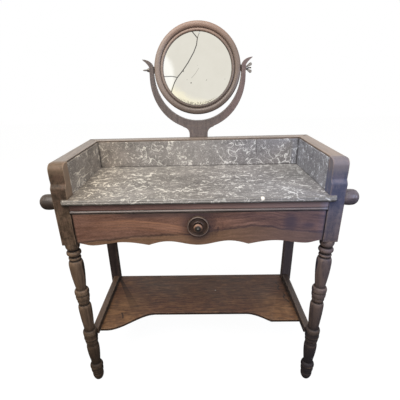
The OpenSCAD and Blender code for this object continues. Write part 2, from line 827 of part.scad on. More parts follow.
towel_knob_rear(RIGHT);  // towel_knob_rear_right
towel_bar(LEFT);  // towel_bar_left
towel_bar(RIGHT);  // towel_bar_right
mirror_yoke();
stem_packing();
yoke_screws();
mirror_frame();
mirror_glass();
mirror_backboard();
backboard_pins();
pivot_rod(LEFT);  // pivot_rod_left
pivot_rod(RIGHT);  // pivot_rod_right
pivot_washer(LEFT);  // pivot_washer_left
pivot_washer(RIGHT);  // pivot_washer_right
wing_nut(LEFT);  // wing_nut_left
wing_nut(RIGHT);  // wing_nut_right
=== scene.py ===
"""Looks of the washstand: aged walnut, veined marble, a cracked mirror and worn metal.

Sizes are in millimetres, measured as on the real piece: X to the right, Y back from
the front posts' faces, Z up from the floor. place() turns them into the frame's metres.
"""

import json
from functools import reduce
from math import atan2, cos, hypot, pi, radians, sin

import bmesh
import bpy
from mathutils import Matrix, Vector

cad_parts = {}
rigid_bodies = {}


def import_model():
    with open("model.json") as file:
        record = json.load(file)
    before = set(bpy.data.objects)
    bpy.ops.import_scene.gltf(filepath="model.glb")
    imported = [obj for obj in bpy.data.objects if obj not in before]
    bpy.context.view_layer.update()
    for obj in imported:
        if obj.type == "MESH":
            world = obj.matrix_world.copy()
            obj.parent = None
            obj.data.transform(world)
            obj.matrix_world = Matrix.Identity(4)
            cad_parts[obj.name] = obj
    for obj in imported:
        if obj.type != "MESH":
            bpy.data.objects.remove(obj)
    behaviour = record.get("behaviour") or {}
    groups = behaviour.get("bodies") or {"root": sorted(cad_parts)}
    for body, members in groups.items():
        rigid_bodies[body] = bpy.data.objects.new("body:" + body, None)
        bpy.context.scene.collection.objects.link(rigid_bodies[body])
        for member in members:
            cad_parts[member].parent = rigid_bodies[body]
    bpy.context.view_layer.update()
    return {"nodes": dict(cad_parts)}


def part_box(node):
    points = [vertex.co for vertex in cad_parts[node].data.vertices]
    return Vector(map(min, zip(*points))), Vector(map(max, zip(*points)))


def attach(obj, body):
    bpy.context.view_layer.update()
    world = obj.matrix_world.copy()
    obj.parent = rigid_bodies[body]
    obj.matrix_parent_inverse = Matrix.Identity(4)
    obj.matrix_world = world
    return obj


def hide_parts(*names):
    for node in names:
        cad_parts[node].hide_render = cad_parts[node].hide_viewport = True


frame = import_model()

LEFT = -1
RIGHT = 1
SIDES = {"left": LEFT, "right": RIGHT}

# Driving sizes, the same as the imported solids'
STAND_W = 900
STAND_D = 426
TOP_Z = 800
GALLERY_Z = 902
CAP_T = 7
CAP_W = 43
POST_W = 48
BLOCK_Z = 639
MARBLE_T = 18
REAR_LEG = (42, 32)
MIRROR_X = 4
PIVOT_Z = 1165
TILT = radians(9.3)
FRAME_R = 166
SIGHT_R = 131

HALF_W = STAND_W / 2
POST_IN = HALF_W - POST_W
LEG_X = HALF_W - POST_W / 2
LEG_Y = POST_W / 2
REAR_OUT = HALF_W - 12
REAR_IN = REAR_OUT - REAR_LEG[0]
REAR_Y = STAND_D - REAR_LEG[1]
CAP_Z = GALLERY_Z + CAP_T
SLAB_Z = TOP_Z - MARBLE_T
SPLASH_OUT = REAR_OUT - 16
YOKE_Y = STAND_D + 11

# The frame's own Y of the posts' front faces, in metres
POST_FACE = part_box("rear_leg_left")[1].y - STAND_D / 1000


def place(x, y, z):
    """A point of the real piece, in millimetres, as a point of the frame, in metres."""
    return Vector((x / 1000, y / 1000 + POST_FACE, z / 1000))


# ---- material nodes

SCALAR_RESULTS = ("LENGTH", "DISTANCE", "DOT_PRODUCT")


def linear(colour):
    """A colour written as #rrggbb, in linear light; any other value as it is."""
    if not isinstance(colour, str):
        return colour
    levels = [int(colour[i:i + 2], 16) / 255 for i in (1, 3, 5)]
    return tuple(c / 12.92 if c <= 0.04045 else ((c + 0.055) / 1.055) ** 2.4 for c in levels)


class Shader:
    """A node tree, with a short method for each kind of node used here.

    colour is the surface's colour so far, and here is its point in millimetres.
    """

    def __init__(self, name, kind="materials"):
        self.owner = getattr(bpy.data, kind).new(name)
        self.owner.use_nodes = True
        self.tree = self.owner.node_tree
        self.tree.nodes.clear()
        self.colour = self.here = None

    def node(self, kind, inputs=(), **settings):
        made = self.tree.nodes.new(f"ShaderNode{kind}")
        for key, value in settings.items():
            setattr(made, key, value)
        for key, value in dict(inputs).items():
            self.feed(made.inputs[key], linear(value))
        return made

    def feed(self, socket, value):
        if isinstance(value, bpy.types.NodeSocket):
            self.tree.links.new(value, socket)
        elif socket.type == "RGBA" and len(value) == 3:
            socket.default_value = (*value, 1)
        else:
            socket.default_value = value

    def place(self, offset=(0, 0, 0)):
        """The point on the piece at rest, in metres, moved by offset."""
        at = self.node("TexCoord").outputs["Object"]
        return self.vector("ADD", at, offset)

    def parts(self, vector):
        """The three numbers of a vector."""
        return self.node("SeparateXYZ", {0: vector}).outputs[:]

    def measured(self):
        """x, y and z on the piece at rest, in millimetres, measured as on the real piece."""
        self.here = self.vector("MULTIPLY", self.place((0, -POST_FACE, 0)), (1000,) * 3)
        return self.parts(self.here)

    def joined(self, x, y, z=0.0):
        return self.node("CombineXYZ", {0: x, 1: y, 2: z}).outputs[0]

    def vector(self, operation, a, b=(0, 0, 0)):
        made = self.node("VectorMath", {0: a, 1: b}, operation=operation)
        return made.outputs["Value" if operation in SCALAR_RESULTS else "Vector"]

    def math(self, operation, a, b=0.0):
        return self.node("Math", {0: a, 1: b}, operation=operation).outputs[0]

    def fold(self, operation, values):
        """One operation over several values in turn."""
        return reduce(lambda a, b: self.math(operation, a, b), values)

    def times(self, *values):
        return self.fold("MULTIPLY", values)

    def highest(self, *values):
        return self.fold("MAXIMUM", values)

    def lowest(self, *values):
        return self.fold("MINIMUM", values)

    def weighed(self, *terms, base=0.0):
        """The sum of (value, weight) terms, on top of a base."""
        for value, weight in terms:
            inputs = {0: value, 1: weight, 2: base}
            base = self.node("Math", inputs, operation="MULTIPLY_ADD").outputs[0]
        return base

    def away(self, value, middle=0.0):
        """How far a value lies from the middle, either way."""
        return self.math("ABSOLUTE", self.math("SUBTRACT", value, middle))

    def reach(self, u, v):
        """How far the point (u, v) lies from the origin."""
        return self.vector("LENGTH", self.joined(u, v))

    def remap(self, value, low, high, to_low, to_high, kind="LINEAR"):
        inputs = {"Value": value, "From Min": low, "From Max": high, "To Min": to_low, "To Max": to_high}
        return self.node("MapRange", inputs, interpolation_type=kind).outputs["Result"]

    def rise(self, value, low, high, share=1.0):
        """0 where the value is low, rising evenly to share where it is high."""
        return self.remap(value, low, high, 0.0, share)

    def soft(self, value, low, high, share=1.0):
        """0 where the value is low, rising softly to share where it is high."""
        return self.remap(value, low, high, 0.0, share, "SMOOTHSTEP")

    def noise(self, at, scale, detail=3.0, roughness=0.5, distortion=0.0, output="Fac"):
        """scale is one number, or three for a pattern that is drawn out."""
        if isinstance(scale, tuple):
            at, scale = self.vector("MULTIPLY", at, scale), 1
        inputs = {"Vector": at, "Scale": scale, "Detail": detail, "Roughness": roughness,
                  "Distortion": distortion}
        return self.node("TexNoise", inputs).outputs[output]

    def drift(self, at, scale, reach, detail, roughness=0.5):
        """A small move, different from place to place, of up to half of reach each way."""
        by = self.noise(at, scale, detail, roughness, output="Color")
        return self.vector("MULTIPLY", self.vector("SUBTRACT", by, (0.5,) * 3), (reach,) * 3)

    def ramp(self, value, stops, kind="LINEAR"):
        """stops is a list of (position, colour)."""
        made = self.node("ValToRGB", {"Fac": value})
        made.color_ramp.interpolation = kind
        band = made.color_ramp.elements
        while len(band) < len(stops):
            band.new(0.5)
        for element, (position, colour) in zip(band, stops):
            element.position = position
            element.color = (*linear(colour), 1)
        return made.outputs["Color"]

    def curve(self, x, points):
        """A height over x, eased between (x, height) points."""
        low, high = points[0][0], points[-1][0]
        heights = [height for _, height in points]
        foot, top = min(heights), max(heights)
        stops = [((at - low) / (high - low), ((height - foot) / (top - foot),) * 3) for at, height in points]
        return self.remap(self.ramp(self.rise(x, low, high), stops, "EASE"), 0, 1, foot, top)

    def near_heights(self, value, heights, width):
        """1 at any of the heights, falling to 0 at the given width from it."""
        nearest = self.lowest(*(self.away(value, height) for height in heights))
        return self.rise(nearest, width, width * 0.4)

    def near_path(self, u, v, path, width):
        """1 on a polyline of the plane (u, v), falling to 0 at the given width from it."""
        at, distances = self.joined(u, v), []
        for (u0, v0), (u1, v1) in zip(path, path[1:]):
            run = Vector((u1 - u0, v1 - v0, 0))
            past = self.vector("SUBTRACT", at, (u0, v0, 0))
            share = self.rise(self.vector("DOT_PRODUCT", past, tuple(run / run.length_squared)), 0, 1)
            foot = self.node("VectorMath", {0: tuple(run), "Scale": share}, operation="SCALE")
            distances.append(self.vector("DISTANCE", past, foot.outputs[0]))
        return self.soft(self.lowest(*distances), width, width * 0.3)

    def spot(self, u, v, middle, radii, edge=0.35):
        """1 inside an ellipse of the plane (u, v), falling softly to 0 at its rim."""
        du = self.weighed((u, 1 / radii[0]), base=-middle[0] / radii[0])
        dv = self.weighed((v, 1 / radii[1]), base=-middle[1] / radii[1])
        return self.soft(self.reach(du, dv), 1.0, edge)

    def mix(self, share, a, b, blend="MIX"):
        made = self.node("Mix", {0: share, 6: a, 7: b}, data_type="RGBA", blend_type=blend)
        return made.outputs[2]

    def stain(self, colour, *shares, blend="MIX"):
        """Goes over the surface's colour, as strongly as the product of the shares says."""
        self.colour = self.mix(self.times(*shares), self.colour, colour, blend)

    def relief(self):
        """How far the surface stands out there, from -1 in a hollow to 1 on an arris."""
        return self.node("Attribute", attribute_name="relief").outputs["Fac"]

    def bump(self, height, strength, distance):
        inputs = {"Height": height, "Strength": strength, "Distance": distance}
        return self.node("Bump", inputs).outputs["Normal"]

    def finish(self, **inputs):
        """A Principled surface of the colour so far; input names have _ for a space."""
        named = {key.replace("_", " "): value for key, value in inputs.items()}
        surface = self.node("BsdfPrincipled", {"Base Color": self.colour, **named})
        self.node("OutputMaterial", {"Surface": surface.outputs[0]})
        return self.owner


def stretch(grain, along, across):
    """Scales for a pattern that runs along the grain."""
    return tuple(along if axis == grain else across for axis in "XYZ")


# Middle colour of each wood, in patches out of the grime and the wear
POST_BROWN = "#523f34"
LEG_BROWN = "#6c5847"
REAR_BROWN = "#463a37"
RAIL_BROWN = "#836259"
BEAD_BROWN = "#8a7d76"
DRAWER_BROWN = "#856759"
SHELF_BROWN = "#573625"
STRETCHER_BROWN = "#5f4939"
CAP_BROWN = "#887a6f"
YOKE_BROWN = "#6f6561"
FRAME_BROWN = "#7a6a5f"
KNOB_BROWN = "#5a4034"
PLAIN_BROWN = "#8b6d4a"
# The right ball's mauve grey is painted cool light over its brown
BALL_BROWN_AND_COOL_LIGHT = {LEFT: "#3a3029", RIGHT: "#635a60"}
# Blue grey of painted cool light on the right
COOL_LIGHT_BLUE = "#5b5a70"
# Pale of rubbed wear, also painted light on the posts' rolled tops
WORN_AND_HIGHLIGHT = "#b79b80"
# Near black of dirt, also painted shade in gaps, under overhangs and toward the floor
GRIME_AND_SHADE = "#17110e"

# A wood's tones from its darkest grain to its lightest, and where each lies in the figure
TONE_LEVELS = (0.32, 0.68, 1.0, 1.42)
TONE_STOPS = (0.1, 0.35, 0.52, 0.85)


def wood(name, grain, code, spread=1.0, rings=0.009, pith=(0.13, 0.05), shine=0.42, wear=0.5, lines=0.2,
         gloss=0.4, kind="walnut", age=None, bend=None):
    """Wood as rings about a pith beside the board, seen through fibres, pores and patina, under painted cool
    light toward the right.

    age, if given, takes the shader and the point's x, y and z in millimetres, and stains the
    colour, on some pieces with painted light and shade too. bend, if given, takes the shader and a point,
    and straightens the grain.
    """
    name = f"{name}_{kind}"
    s = Shader(name)
    tones = [tuple(c * level ** spread for c in linear(code)) for level in TONE_LEVELS]
    start = bend(s, s.place()) if bend else s.place()
    seed = sum(name.encode()) / 97
    at = s.vector("ADD", start, (0.37 * seed, -0.23 * seed, 0.19 * seed))
    wandered = s.vector("ADD", start, s.drift(at, stretch(grain, 1.6, 7), 0.045, 2))
    middle = {"X": (0, *pith), "Y": (pith[0], 0, pith[1] + 0.7), "Z": (*pith, 0)}[grain]
    outward = s.vector("MULTIPLY", s.vector("SUBTRACT", wandered, middle), stretch(grain, 0.06, 1))
    ring = s.math("FRACT", s.times(s.vector("LENGTH", outward), 1 / rings))
    ring = s.times(s.soft(ring, 0, 0.75), s.soft(ring, 1, 0.82))
    figure = s.noise(at, stretch(grain, 5, 95), 5, 0.62, 0.5)
    fibre = s.noise(at, stretch(grain, 24, 260), 3, 0.65)
    specks = s.noise(at, 330, 2, 0.6)
    pores = s.rise(s.noise(at, stretch(grain, 45, 1300), 1), 0.62, 0.74)
    patches = s.noise(at, 7, 4, 0.6)
    tone = s.weighed((figure, 0.75), (ring, 0.2), (fibre, 0.65), (specks, 0.55), (patches, 0.5), base=-0.825)
    s.colour = s.ramp(tone, list(zip(TONE_STOPS, tones)))
    streaks = s.away(s.noise(at, stretch(grain, 3.5, 140), 3, 0.6, 0.4), 0.46)
    s.stain(tones[0], s.highest(s.rise(streaks, 0.045, 0.0, lines), s.times(pores, 0.45)))
    x, y, z = s.measured()
    if age:
        age(s, x, y, z)
    # Painted cool light toward the right end, on every wood
    painted_cool_light(s, x, y, z)
    relief = s.relief()
    rubbed = s.rise(s.noise(at, 38, 3, 0.6), 0.35, 0.65)
    s.stain(WORN_AND_HIGHLIGHT, s.rise(relief, 0, 1), rubbed, wear * 0.6)
    dirty = s.rise(relief, 0, -1.25)
    s.stain(GRIME_AND_SHADE, dirty)
    rough = s.weighed((dirty, 0.25), base=s.remap(patches, 0.3, 0.7, shine - 0.06, shine + 0.1))
    normal = s.bump(s.weighed((fibre, 0.6), (pores, -1)), 0.35, 0.0002)
    return s.finish(Roughness=rough, Normal=normal, Specular_IOR_Level=gloss, Coat_Weight=0.08,
                    Coat_Roughness=0.3)


# How strongly painted cool light tints the case's right end over its height
COOL_LIGHT_HEIGHTS = [(620, 0.1), (700, 0.5), (780, 1.0), (845, 1.0), (885, 0.3)]


def painted_cool_light(s, x, y, z):
    """Painted cool light: a blue tint that grows toward the right, strongest on the front of the case's end.
    """
    fore = s.times(s.rise(y, 62, 45), s.rise(x, 449.8, 448.5))
    cool_lit = s.times(s.soft(x, 0, 460, 0.34), s.remap(z, 250, 600, 0.3, 1.0))
    s.stain(COOL_LIGHT_BLUE, cool_lit, s.remap(fore, 0, 1, 0.35, 1.0))
    end = s.times(s.rise(x, 375, 403), s.curve(z, COOL_LIGHT_HEIGHTS), fore)
    s.stain((1.12, 1.42, 1.85), end, blend="MULTIPLY")


# Veins of four sizes: scale, half width, where they break off and widen out, and strength
VEINS = ((12, 0.019, 0.455, 0.57, 0.92), (27, 0.03, 0.44, 0.6, 0.95), (62, 0.045, 0.43, 0.62, 0.7),
         (140, 0.06, 0.455, 0.655, 0.36))
MARBLE_HAZE = 0.1
# Dark of dirt in seams, also painted shade under the slab's nosing
SEAM_DIRT_AND_SHADE = "#2b2725"


def marble(name, lift, bold, draw, marks):
    """Grey marble crossed by short, curled, cream veins, with painted cool light toward the right and
    painted warm light toward the left.

    lift is how pale its ground is, bold how broad its veins are, and draw how they are drawn
    out. marks takes the shader and the point's x, y and z in millimetres, and stains the colour.
    """
    s = Shader(name)
    at = s.vector("MULTIPLY", s.place((0.31, 0.17, 0.05)), draw)
    curled = s.vector("ADD", at, s.drift(at, 11, 0.06, 4, 0.6))
    clouds = s.noise(curled, 15, 8, 0.7)
    s.colour = s.ramp(clouds, [(0.3, "#413d3c"), (0.47, "#68635f"), (0.66, "#857e79")])
    s.stain("#a09a92", s.rise(s.noise(at, 240, 3, 0.7), 0.35, 0.7, 0.45))
    s.stain((lift,) * 3, 1.0, blend="MULTIPLY")
    veins = s.soft(s.noise(curled, 34, 4, 0.6), 0.71, 0.75)
    for scale, width, low, high, share in VEINS:
        kept = s.soft(s.noise(at, scale * 1.1, 2), low, high, width * bold)
        beside = s.math("SUBTRACT", s.away(s.noise(curled, scale, 2, 0.5, 0.3), 0.5), kept)
        veins = s.highest(veins, s.rise(beside, 0.0, -0.6 * width * bold, share))
    s.stain("#ece7da", veins)
    s.stain("#958f88", MARBLE_HAZE)
    x, y, z = s.measured()
    # Painted light: cooler toward the right, warmer toward the left
    s.stain((0.98, 1.04, 1.2), s.soft(x, -150, 400), blend="MULTIPLY")
    s.stain((1.01, 0.95, 0.87), s.soft(x, -200, -400), blend="MULTIPLY")
    marks(s, x, y, z)
    rough = s.remap(s.noise(at, 12, 4), 0.3, 0.7, 0.3, 0.46)
    return s.finish(Roughness=rough, Normal=s.bump(s.math("ADD", clouds, veins), 0.12, 0.0003))


def metal(name, code, rough=0.42):
    """Old metal, with dull patches, fine scratches and dirt in the hollows."""
    s = Shader(name)
    at = s.place()
    patches = s.noise(at, 240, 4, 0.6)
    s.colour = code
    s.stain(tuple(c * 0.35 for c in linear(code)), s.rise(patches, 0.4, 0.75))
    s.stain(GRIME_AND_SHADE, s.rise(s.relief(), 0, -1))
    spread = s.remap(patches, 0.3, 0.7, rough - 0.1, rough + 0.2)
    return s.finish(Roughness=spread, Metallic=0.9, Normal=s.bump(s.noise(at, 900, 2), 0.2, 0.0001))


def leather(name):
    """Dark leather, creased and dry."""
    s = Shader(name)
    creases = s.noise(s.place(), 420, 5, 0.65, 0.5)
    s.colour = s.ramp(creases, [(0.3, "#14100e"), (0.5, "#2c2522"), (0.72, "#493d36")])
    return s.finish(Roughness=s.remap(creases, 0.3, 0.7, 0.5, 0.75), Normal=s.bump(creases, 0.6, 0.0005))


# ---- mesh helpers


def added(name, data):
    made = bpy.data.objects.new(name, data)
    bpy.context.scene.collection.objects.link(made)
    return made


def piece(node, islands, material, body="stand", part=""):
    """One closed mesh from islands of (points, faces, reliefs); it stands for the named node."""
    points, faces, reliefs = [], [], []
    for some_points, some_faces, some_reliefs in islands:
        faces += [[i + len(points) for i in face] for face in some_faces]
        points += some_points
        reliefs += some_reliefs
    name = f"dressed_{node}{part}"
    mesh = bpy.data.meshes.new(name)
    mesh.from_pydata([tuple(p) for p in points], [], faces)
    mesh.attributes.new("relief", "FLOAT", "POINT").data.foreach_set("value", reliefs)
    face_outward(mesh)
    for polygon in mesh.polygons:
        polygon.use_smooth = len(polygon.vertices) == 4
    mesh.materials.append(material)
    made = added(name, mesh)
    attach(made, body)
    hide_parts(node)


def face_outward(mesh):
    work = bmesh.new()
    work.from_mesh(mesh)
    bmesh.ops.recalc_face_normals(work, faces=work.faces)
    work.to_mesh(mesh)
    work.free()


def skinned(rings, reliefs, endless=False):
    """A closed island over rings of equal length; an endless one has no ends but meets itself."""
    count, points = len(rings[0]), [point for ring in rings for point in ring]
    last = len(points) - count
    faces = []
    for i in range(0, len(points) if endless else last, count):
        after = (i + count) % len(points)
        faces += [[i + j, i + (j + 1) % count, after + (j + 1) % count, after + j] for j in range(count)]
    if not endless:
        faces += [list(range(count))[::-1], list(range(last, len(points)))]
    return points, faces, reliefs


def resample(profile, step):
    """A polyline's points again, at most step apart."""
    points = [profile[0]]
    for (r0, z0), (r1, z1) in zip(profile, profile[1:]):
        parts = max(1, round(hypot(r1 - r0, z1 - z0) / step))
        points += [(r0 + (r1 - r0) * k / parts, z0 + (z1 - z0) * k / parts) for k in range(1, parts + 1)]
    return points


def relief_of(profile, reach=9.0, depth=2.2):
    """How far each point of a turned profile stands out from its surroundings, from -1 to 1."""
    values = []
    for r, z in profile:
        near = [q[0] for q in profile if hypot(q[0] - r, q[1] - z) < reach]
        values.append(max(-1.0, min(1.0, (r - sum(near) / len(near)) / depth)))
    return values


def facing_up(profile):
    """How much each point of a turned profile faces up, from 0 to 1."""
    ends = zip(profile[:1] + profile[:-1], profile[1:] + profile[-1:])
    return [max(0.0, (a[0] - b[0]) / max(hypot(b[0] - a[0], b[1] - a[1]), 1e-6)) for a, b in ends]


def on_circle(r, share):
    """The point of a circle after a share of one turn."""
    return r * cos(2 * pi * share), r * sin(2 * pi * share)


def turned(profile, put, steps=72, step=1.8, dust=0.0):
    """A turned island: profile is (radius, height) points and put(u, v, height) places them.

    dust is how much dirt lies on what faces up.
    """
    fine = resample([(max(r, 0.02), z) for r, z in profile], step)
    reliefs = [value - dust * up for value, up in zip(relief_of(fine), facing_up(fine))]
    rings = [[put(*on_circle(r, k / steps), z) for k in range(steps)] for r, z in fine]
    return skinned(rings, [value for value in reliefs for _ in range(steps)])


def unit(u, v):
    size = hypot(u, v)
    return (u / size, v / size)


def shift(point, direction, by):
    return (point[0] + direction[0] * by, point[1] + direction[1] * by)


# A corner that turns by less than this isn't rounded; any other gets an arc of so many steps
SHARP = radians(22)
CORNER_STEPS = 4


def evenly(u, v):
    """The same inset wherever a corner lies."""
    return 1.0


def eased_outline(points, radius, support=6.0, ease=evenly):
    """Prepares a counter-clockwise outline whose sharp corners are rounded.

    Each entry gives the corner, its mitre, the direction of its arc, its radius, +1 for an
    outer and -1 for an inner corner, its relief and its share of the inset.
    """
    entries = []
    for i, here in enumerate(points):
        before, after = points[i - 1], points[(i + 1) % len(points)]
        a = unit(here[0] - before[0], here[1] - before[1])
        b = unit(after[0] - here[0], after[1] - here[1])
        n1, n2 = (-a[1], a[0]), (-b[1], b[0])
        spread = 1 + n1[0] * n2[0] + n1[1] * n2[1]
        mitre = ((n1[0] + n2[0]) / spread, (n1[1] + n2[1]) / spread)
        angle = atan2(a[0] * b[1] - a[1] * b[0], a[0] * b[0] + a[1] * b[1])
        share = ease(*here)
        if abs(angle) < SHARP:
            entries.append((here, mitre, unit(*mitre), 0.0, 1, 0.0, share))
            continue
        sign = 1 if angle > 0 else -1
        if hypot(here[0] - before[0], here[1] - before[1]) > 3 * support:
            entries.append((shift(here, a, -support), n1, n1, 0.0, 1, 0.0, share))
        for k in range(CORNER_STEPS + 1):
            turn = angle * k / CORNER_STEPS
            worn = 0.55 if k in (0, CORNER_STEPS) else 1.0
            arm = (n1[0] * cos(turn) - n1[1] * sin(turn), n1[0] * sin(turn) + n1[1] * cos(turn))
            entries.append((here, mitre, arm, radius, sign, sign * worn, share))
        if hypot(after[0] - here[0], after[1] - here[1]) > 3 * support:
            entries.append((shift(here, b, support), n2, n2, 0.0, 1, 0.0, share))
    return entries


def inset(entries, depth):
    """The prepared outline, drawn in by depth."""
    ring = []
    for corner, mitre, arm, radius, sign, _, share in entries:
        d = depth * share
        if sign > 0:
            left = max(radius - d, 0.0 if radius == 0 else 0.02)
            ring.append(shift(shift(corner, mitre, max(radius, d)), arm, -left))
        else:
            ring.append(shift(shift(corner, mitre, -radius), arm, radius + d))
    return ring


def prism(outline, thick, put, radius=1.2, soft=1.2, ease=evenly, support=6.0, belt=3.0):
    """An extruded island with rounded corners and arrises; put(u, v, w) places its points."""
    entries = eased_outline(outline, radius, support, ease)
    steps = [(soft + belt, 0.0, 0.0)]
    steps += [(soft * (1 - cos(a)), soft * (1 - sin(a)), 1.0 if 0 < a < pi / 2 else 0.6)
              for a in (radians(d) for d in (90, 60, 30, 0))]
    steps += [(0.0, soft + belt, 0.0)]
    steps += [(depth, thick - w, worn) for depth, w, worn in reversed(steps)]
    rings, reliefs = [], []
    for depth, w, worn in steps:
        rings.append([put(u, v, w) for u, v in inset(entries, depth)])
        reliefs += [max(worn, entry[5]) if entry[5] >= 0 else min(worn - 1, entry[5]) for entry in entries]
    return skinned(rings, reliefs)


def mirrored(points):
    """The same points on the other side, in the opposite order."""
    return [(-x, y) for x, y in reversed(points)]


def plank(low, high, grain, soft, side=RIGHT):
    """A board between two corners, its arrises eased; on the left it is the mirror image."""
    xs = sorted((low[0] * side, high[0] * side))
    low, high = (xs[0], *low[1:]), (xs[1], *high[1:])
    axes = {"X": (1, 2, 0), "Y": (2, 0, 1), "Z": (0, 1, 2)}[grain]
    u0, v0, w0 = (low[axis] for axis in axes)
    u1, v1, w1 = (high[axis] for axis in axes)

    def put(u, v, w):
        corner = dict(zip(axes, (u, v, w + w0)))
        return place(*(corner[axis] for axis in range(3)))

    return prism([(u0, v0), (u1, v0), (u1, v1), (u0, v1)], w1 - w0, put, soft, soft)


def wooden(node, islands, grain, code, body="stand", slot="dark_walnut", **looks):
    piece(node, islands, wood(node, grain, code, **looks), body)


def board(node, low, high, grain, soft, code, side=RIGHT, slot="dark_walnut", **looks):
    """A wooden board between two corners; on the left it is the mirror image."""
    wooden(node, [plank(low, high, grain, soft, side)], grain, code, slot=slot, **looks)


# ---- turned profiles


def lerp(a, b, t):
    return a + (b - a) * t


def ease_between(a, b, t):
    """Half cosine that eases from a to b."""
    return lerp(a, b, (1 - cos(pi * t)) / 2)


def arc(middle, radii, degrees):
    """Points of an ellipse at the given degrees, counter-clockwise from its right."""
    (u, v), (across, along) = middle, radii
    return [(u + across * cos(radians(a)), v + along * sin(radians(a))) for a in degrees]


def bead(z0, z1, r0, r1, swell, steps=12):
    """Turned bead between two heights."""
    return [(ease_between(r0, r1, k / steps) + swell * sin(pi * k / steps), ease_between(z0, z1, k / steps))
            for k in range(steps + 1)]


def vase(z_neck, r_neck, z_wide, r_wide, z_top, r_top):
    """Turned vase: it widens from a neck, and a short shoulder closes it."""
    flank = [(lerp(r_neck, r_wide, sin(pi / 2 * k / 14)), lerp(z_neck, z_wide, k / 14)) for k in range(15)]
    return flank + arc((r_top, z_wide), (r_wide - r_top, z_top - z_wide), range(15, 91, 15))


def quarter(r0, r1, z0, z1):
    """Quarter ellipse from one radius to another."""
    return arc((r1, z0), (r0 - r1, z1 - z0), [90 * k / 8 for k in range(9)])


TURNING = (
    [(0, 0)] + bead(0, 40, 9, 17, 7.5) + [(19, 41.5)] + bead(42, 66, 21, 22.5, 2) + [(21.8, 67)]
    + bead(68, 90, 22.5, 17, 5) + vase(94, 16.8, 173, 23.6, 187, 20.3)
    + bead(188, 198, 20.3, 20.3, 1.5) + bead(200, 217, 21.8, 22.5, 1.9)
    + [(23, 219), (25.4, 220), (26, 222), (26, 225), (25.2, 227), (25.2, 242), (26, 243.5), (25.3, 245),
       (26, 246.5), (26, 250)] + quarter(26, 19.5, 250.5, 262)
    + vase(267, 18.5, 368, 23.5, 383, 18) + [(17.1, 384), (17.1, 389)]
    + bead(390, 404, 18, 20, 2.6) + bead(405, 427, 20.5, 22, 3.1) + [(21.4, 428)]
    + [(22, 429), (24.6, 430.5), (25.4, 432.5), (24.9, 434), (25.3, 435.5), (25.6, 438)]
    + quarter(25.6, 18, 438.5, 451) + vase(454, 17.6, 550, 25, 571, 19.4) + [(18, 573), (18, 575.5)]
    + bead(576, 585, 18.6, 18.6, 2.6) + [(16.8, 587), (16.8, 591)] + bead(592, 610, 17.6, 17.2, 7.2)
    + [(16.4, 612), (16.4, 615), (20.4, 616.5)]
    + [(20.4 + 3.5 * sin(pi / 2 * t), lerp(616.5, 627, t)) for t in (0.25, 0.5, 0.75, 1)]
    + [(23.9, BLOCK_Z), (0, BLOCK_Z)]
)

# Side view of the front post: a block, a shoulder that slopes back and a rolled top
SHOULDER_Z = TOP_Z + 33
ROLL_R = 22
POST_SIDE = (
    [(POST_W, BLOCK_Z), (0, BLOCK_Z), (0, SHOULDER_Z)]
    + [(ease_between(0, 9.5, t / 8), SHOULDER_Z + 17 * t / 8) for t in range(1, 9)]
    + [(8.3, SHOULDER_Z + 35)] + arc((31, CAP_Z - ROLL_R), (ROLL_R, ROLL_R), range(180, 89, -6))
    + [(POST_W, CAP_Z)]
)[::-1]


# ---- legs

# How dark a leg is over its height: painted shade that deepens toward the floor, and grime over the post's
# upper part
LEG_SHADE_AND_GRIME = [(0, 0.76), (90, 0.76), (200, 0.5), (262, 0.52), (285, 0.16), (480, 0.0), (640, 0.0),
             (740, 0.02), (775, 0.55), (815, 0.64), (845, 0.44), (900, 0.46)]
# Heights of the turned lines that get a painted highlight, with painted shade just under each
RING_HIGHLIGHT_HEIGHTS = (41, 67, 199, 218, 245, 251, 387, 404, 431.5, 437.5, 574, 588)


def leg_shading_and_patina(s, x, y, z):
    """Painted shade toward the floor, most on the right leg, and painted highlights on the turned lines;
    the posts get painted shade beside the drawer and painted light on their rolled tops.
    """
    rightward = s.rise(x, 0, 100)
    # Painted shade toward the floor, and grime on the post's upper part
    s.stain(GRIME_AND_SHADE, s.curve(z, LEG_SHADE_AND_GRIME))
    # Painted highlight on each turned line, and painted shade just below it
    s.stain("#a48a70", s.near_heights(z, RING_HIGHLIGHT_HEIGHTS, 1.6), 0.55)
    s.stain(GRIME_AND_SHADE, s.near_heights(s.math("ADD", z, 3), RING_HIGHLIGHT_HEIGHTS, 1.8), 0.35)
    # Painted shade over the right leg's lower part
    s.stain(GRIME_AND_SHADE, rightward, s.soft(z, 520, 90, 0.78))
    mottle, block = s.noise(s.here, 0.05, 5, 0.7), s.rise(z, 630, 645)
    s.stain(GRIME_AND_SHADE, s.soft(mottle, 0.49, 0.62, 0.44), block)
    s.stain("#8c6c5d", s.soft(mottle, 0.5, 0.38, 0.2), block)
    out = s.away(x)
    # Painted shade on the post's inner face beside the drawer
    s.stain(GRIME_AND_SHADE, s.rise(out, POST_IN + 0.9, POST_IN + 0.5), s.rise(z, 770, 765, 0.9))
    # Above the slab the inner face is pale on the left post and takes painted cool light on the right one
    inner = s.times(s.rise(out, POST_IN + 1.2, POST_IN + 0.4), s.rise(z, 790, 810),
                    s.remap(x, -POST_IN, POST_IN, 0.5, 0.16))
    s.stain(s.mix(rightward, WORN_AND_HIGHLIGHT, "#8f97ad"), inner)
    # Painted light on the posts' up-facing rolled tops, greyer on the right post
    s.stain(WORN_AND_HIGHLIGHT, s.soft(z, 868, 890, 0.2))
    s.stain("#a79f9a", rightward, s.soft(z, 850, 880, 0.24))


def rear_age(s, x, y, z):
    """The left rear leg is darker than the right one."""
    s.stain(GRIME_AND_SHADE, s.rise(x, 0, -100, 0.22))
    s.stain("#7b706f", s.rise(x, 0, 100, 0.4))


def leg_pith(side):
    return (LEG_X * side / 1000 + 0.05, 0.1)


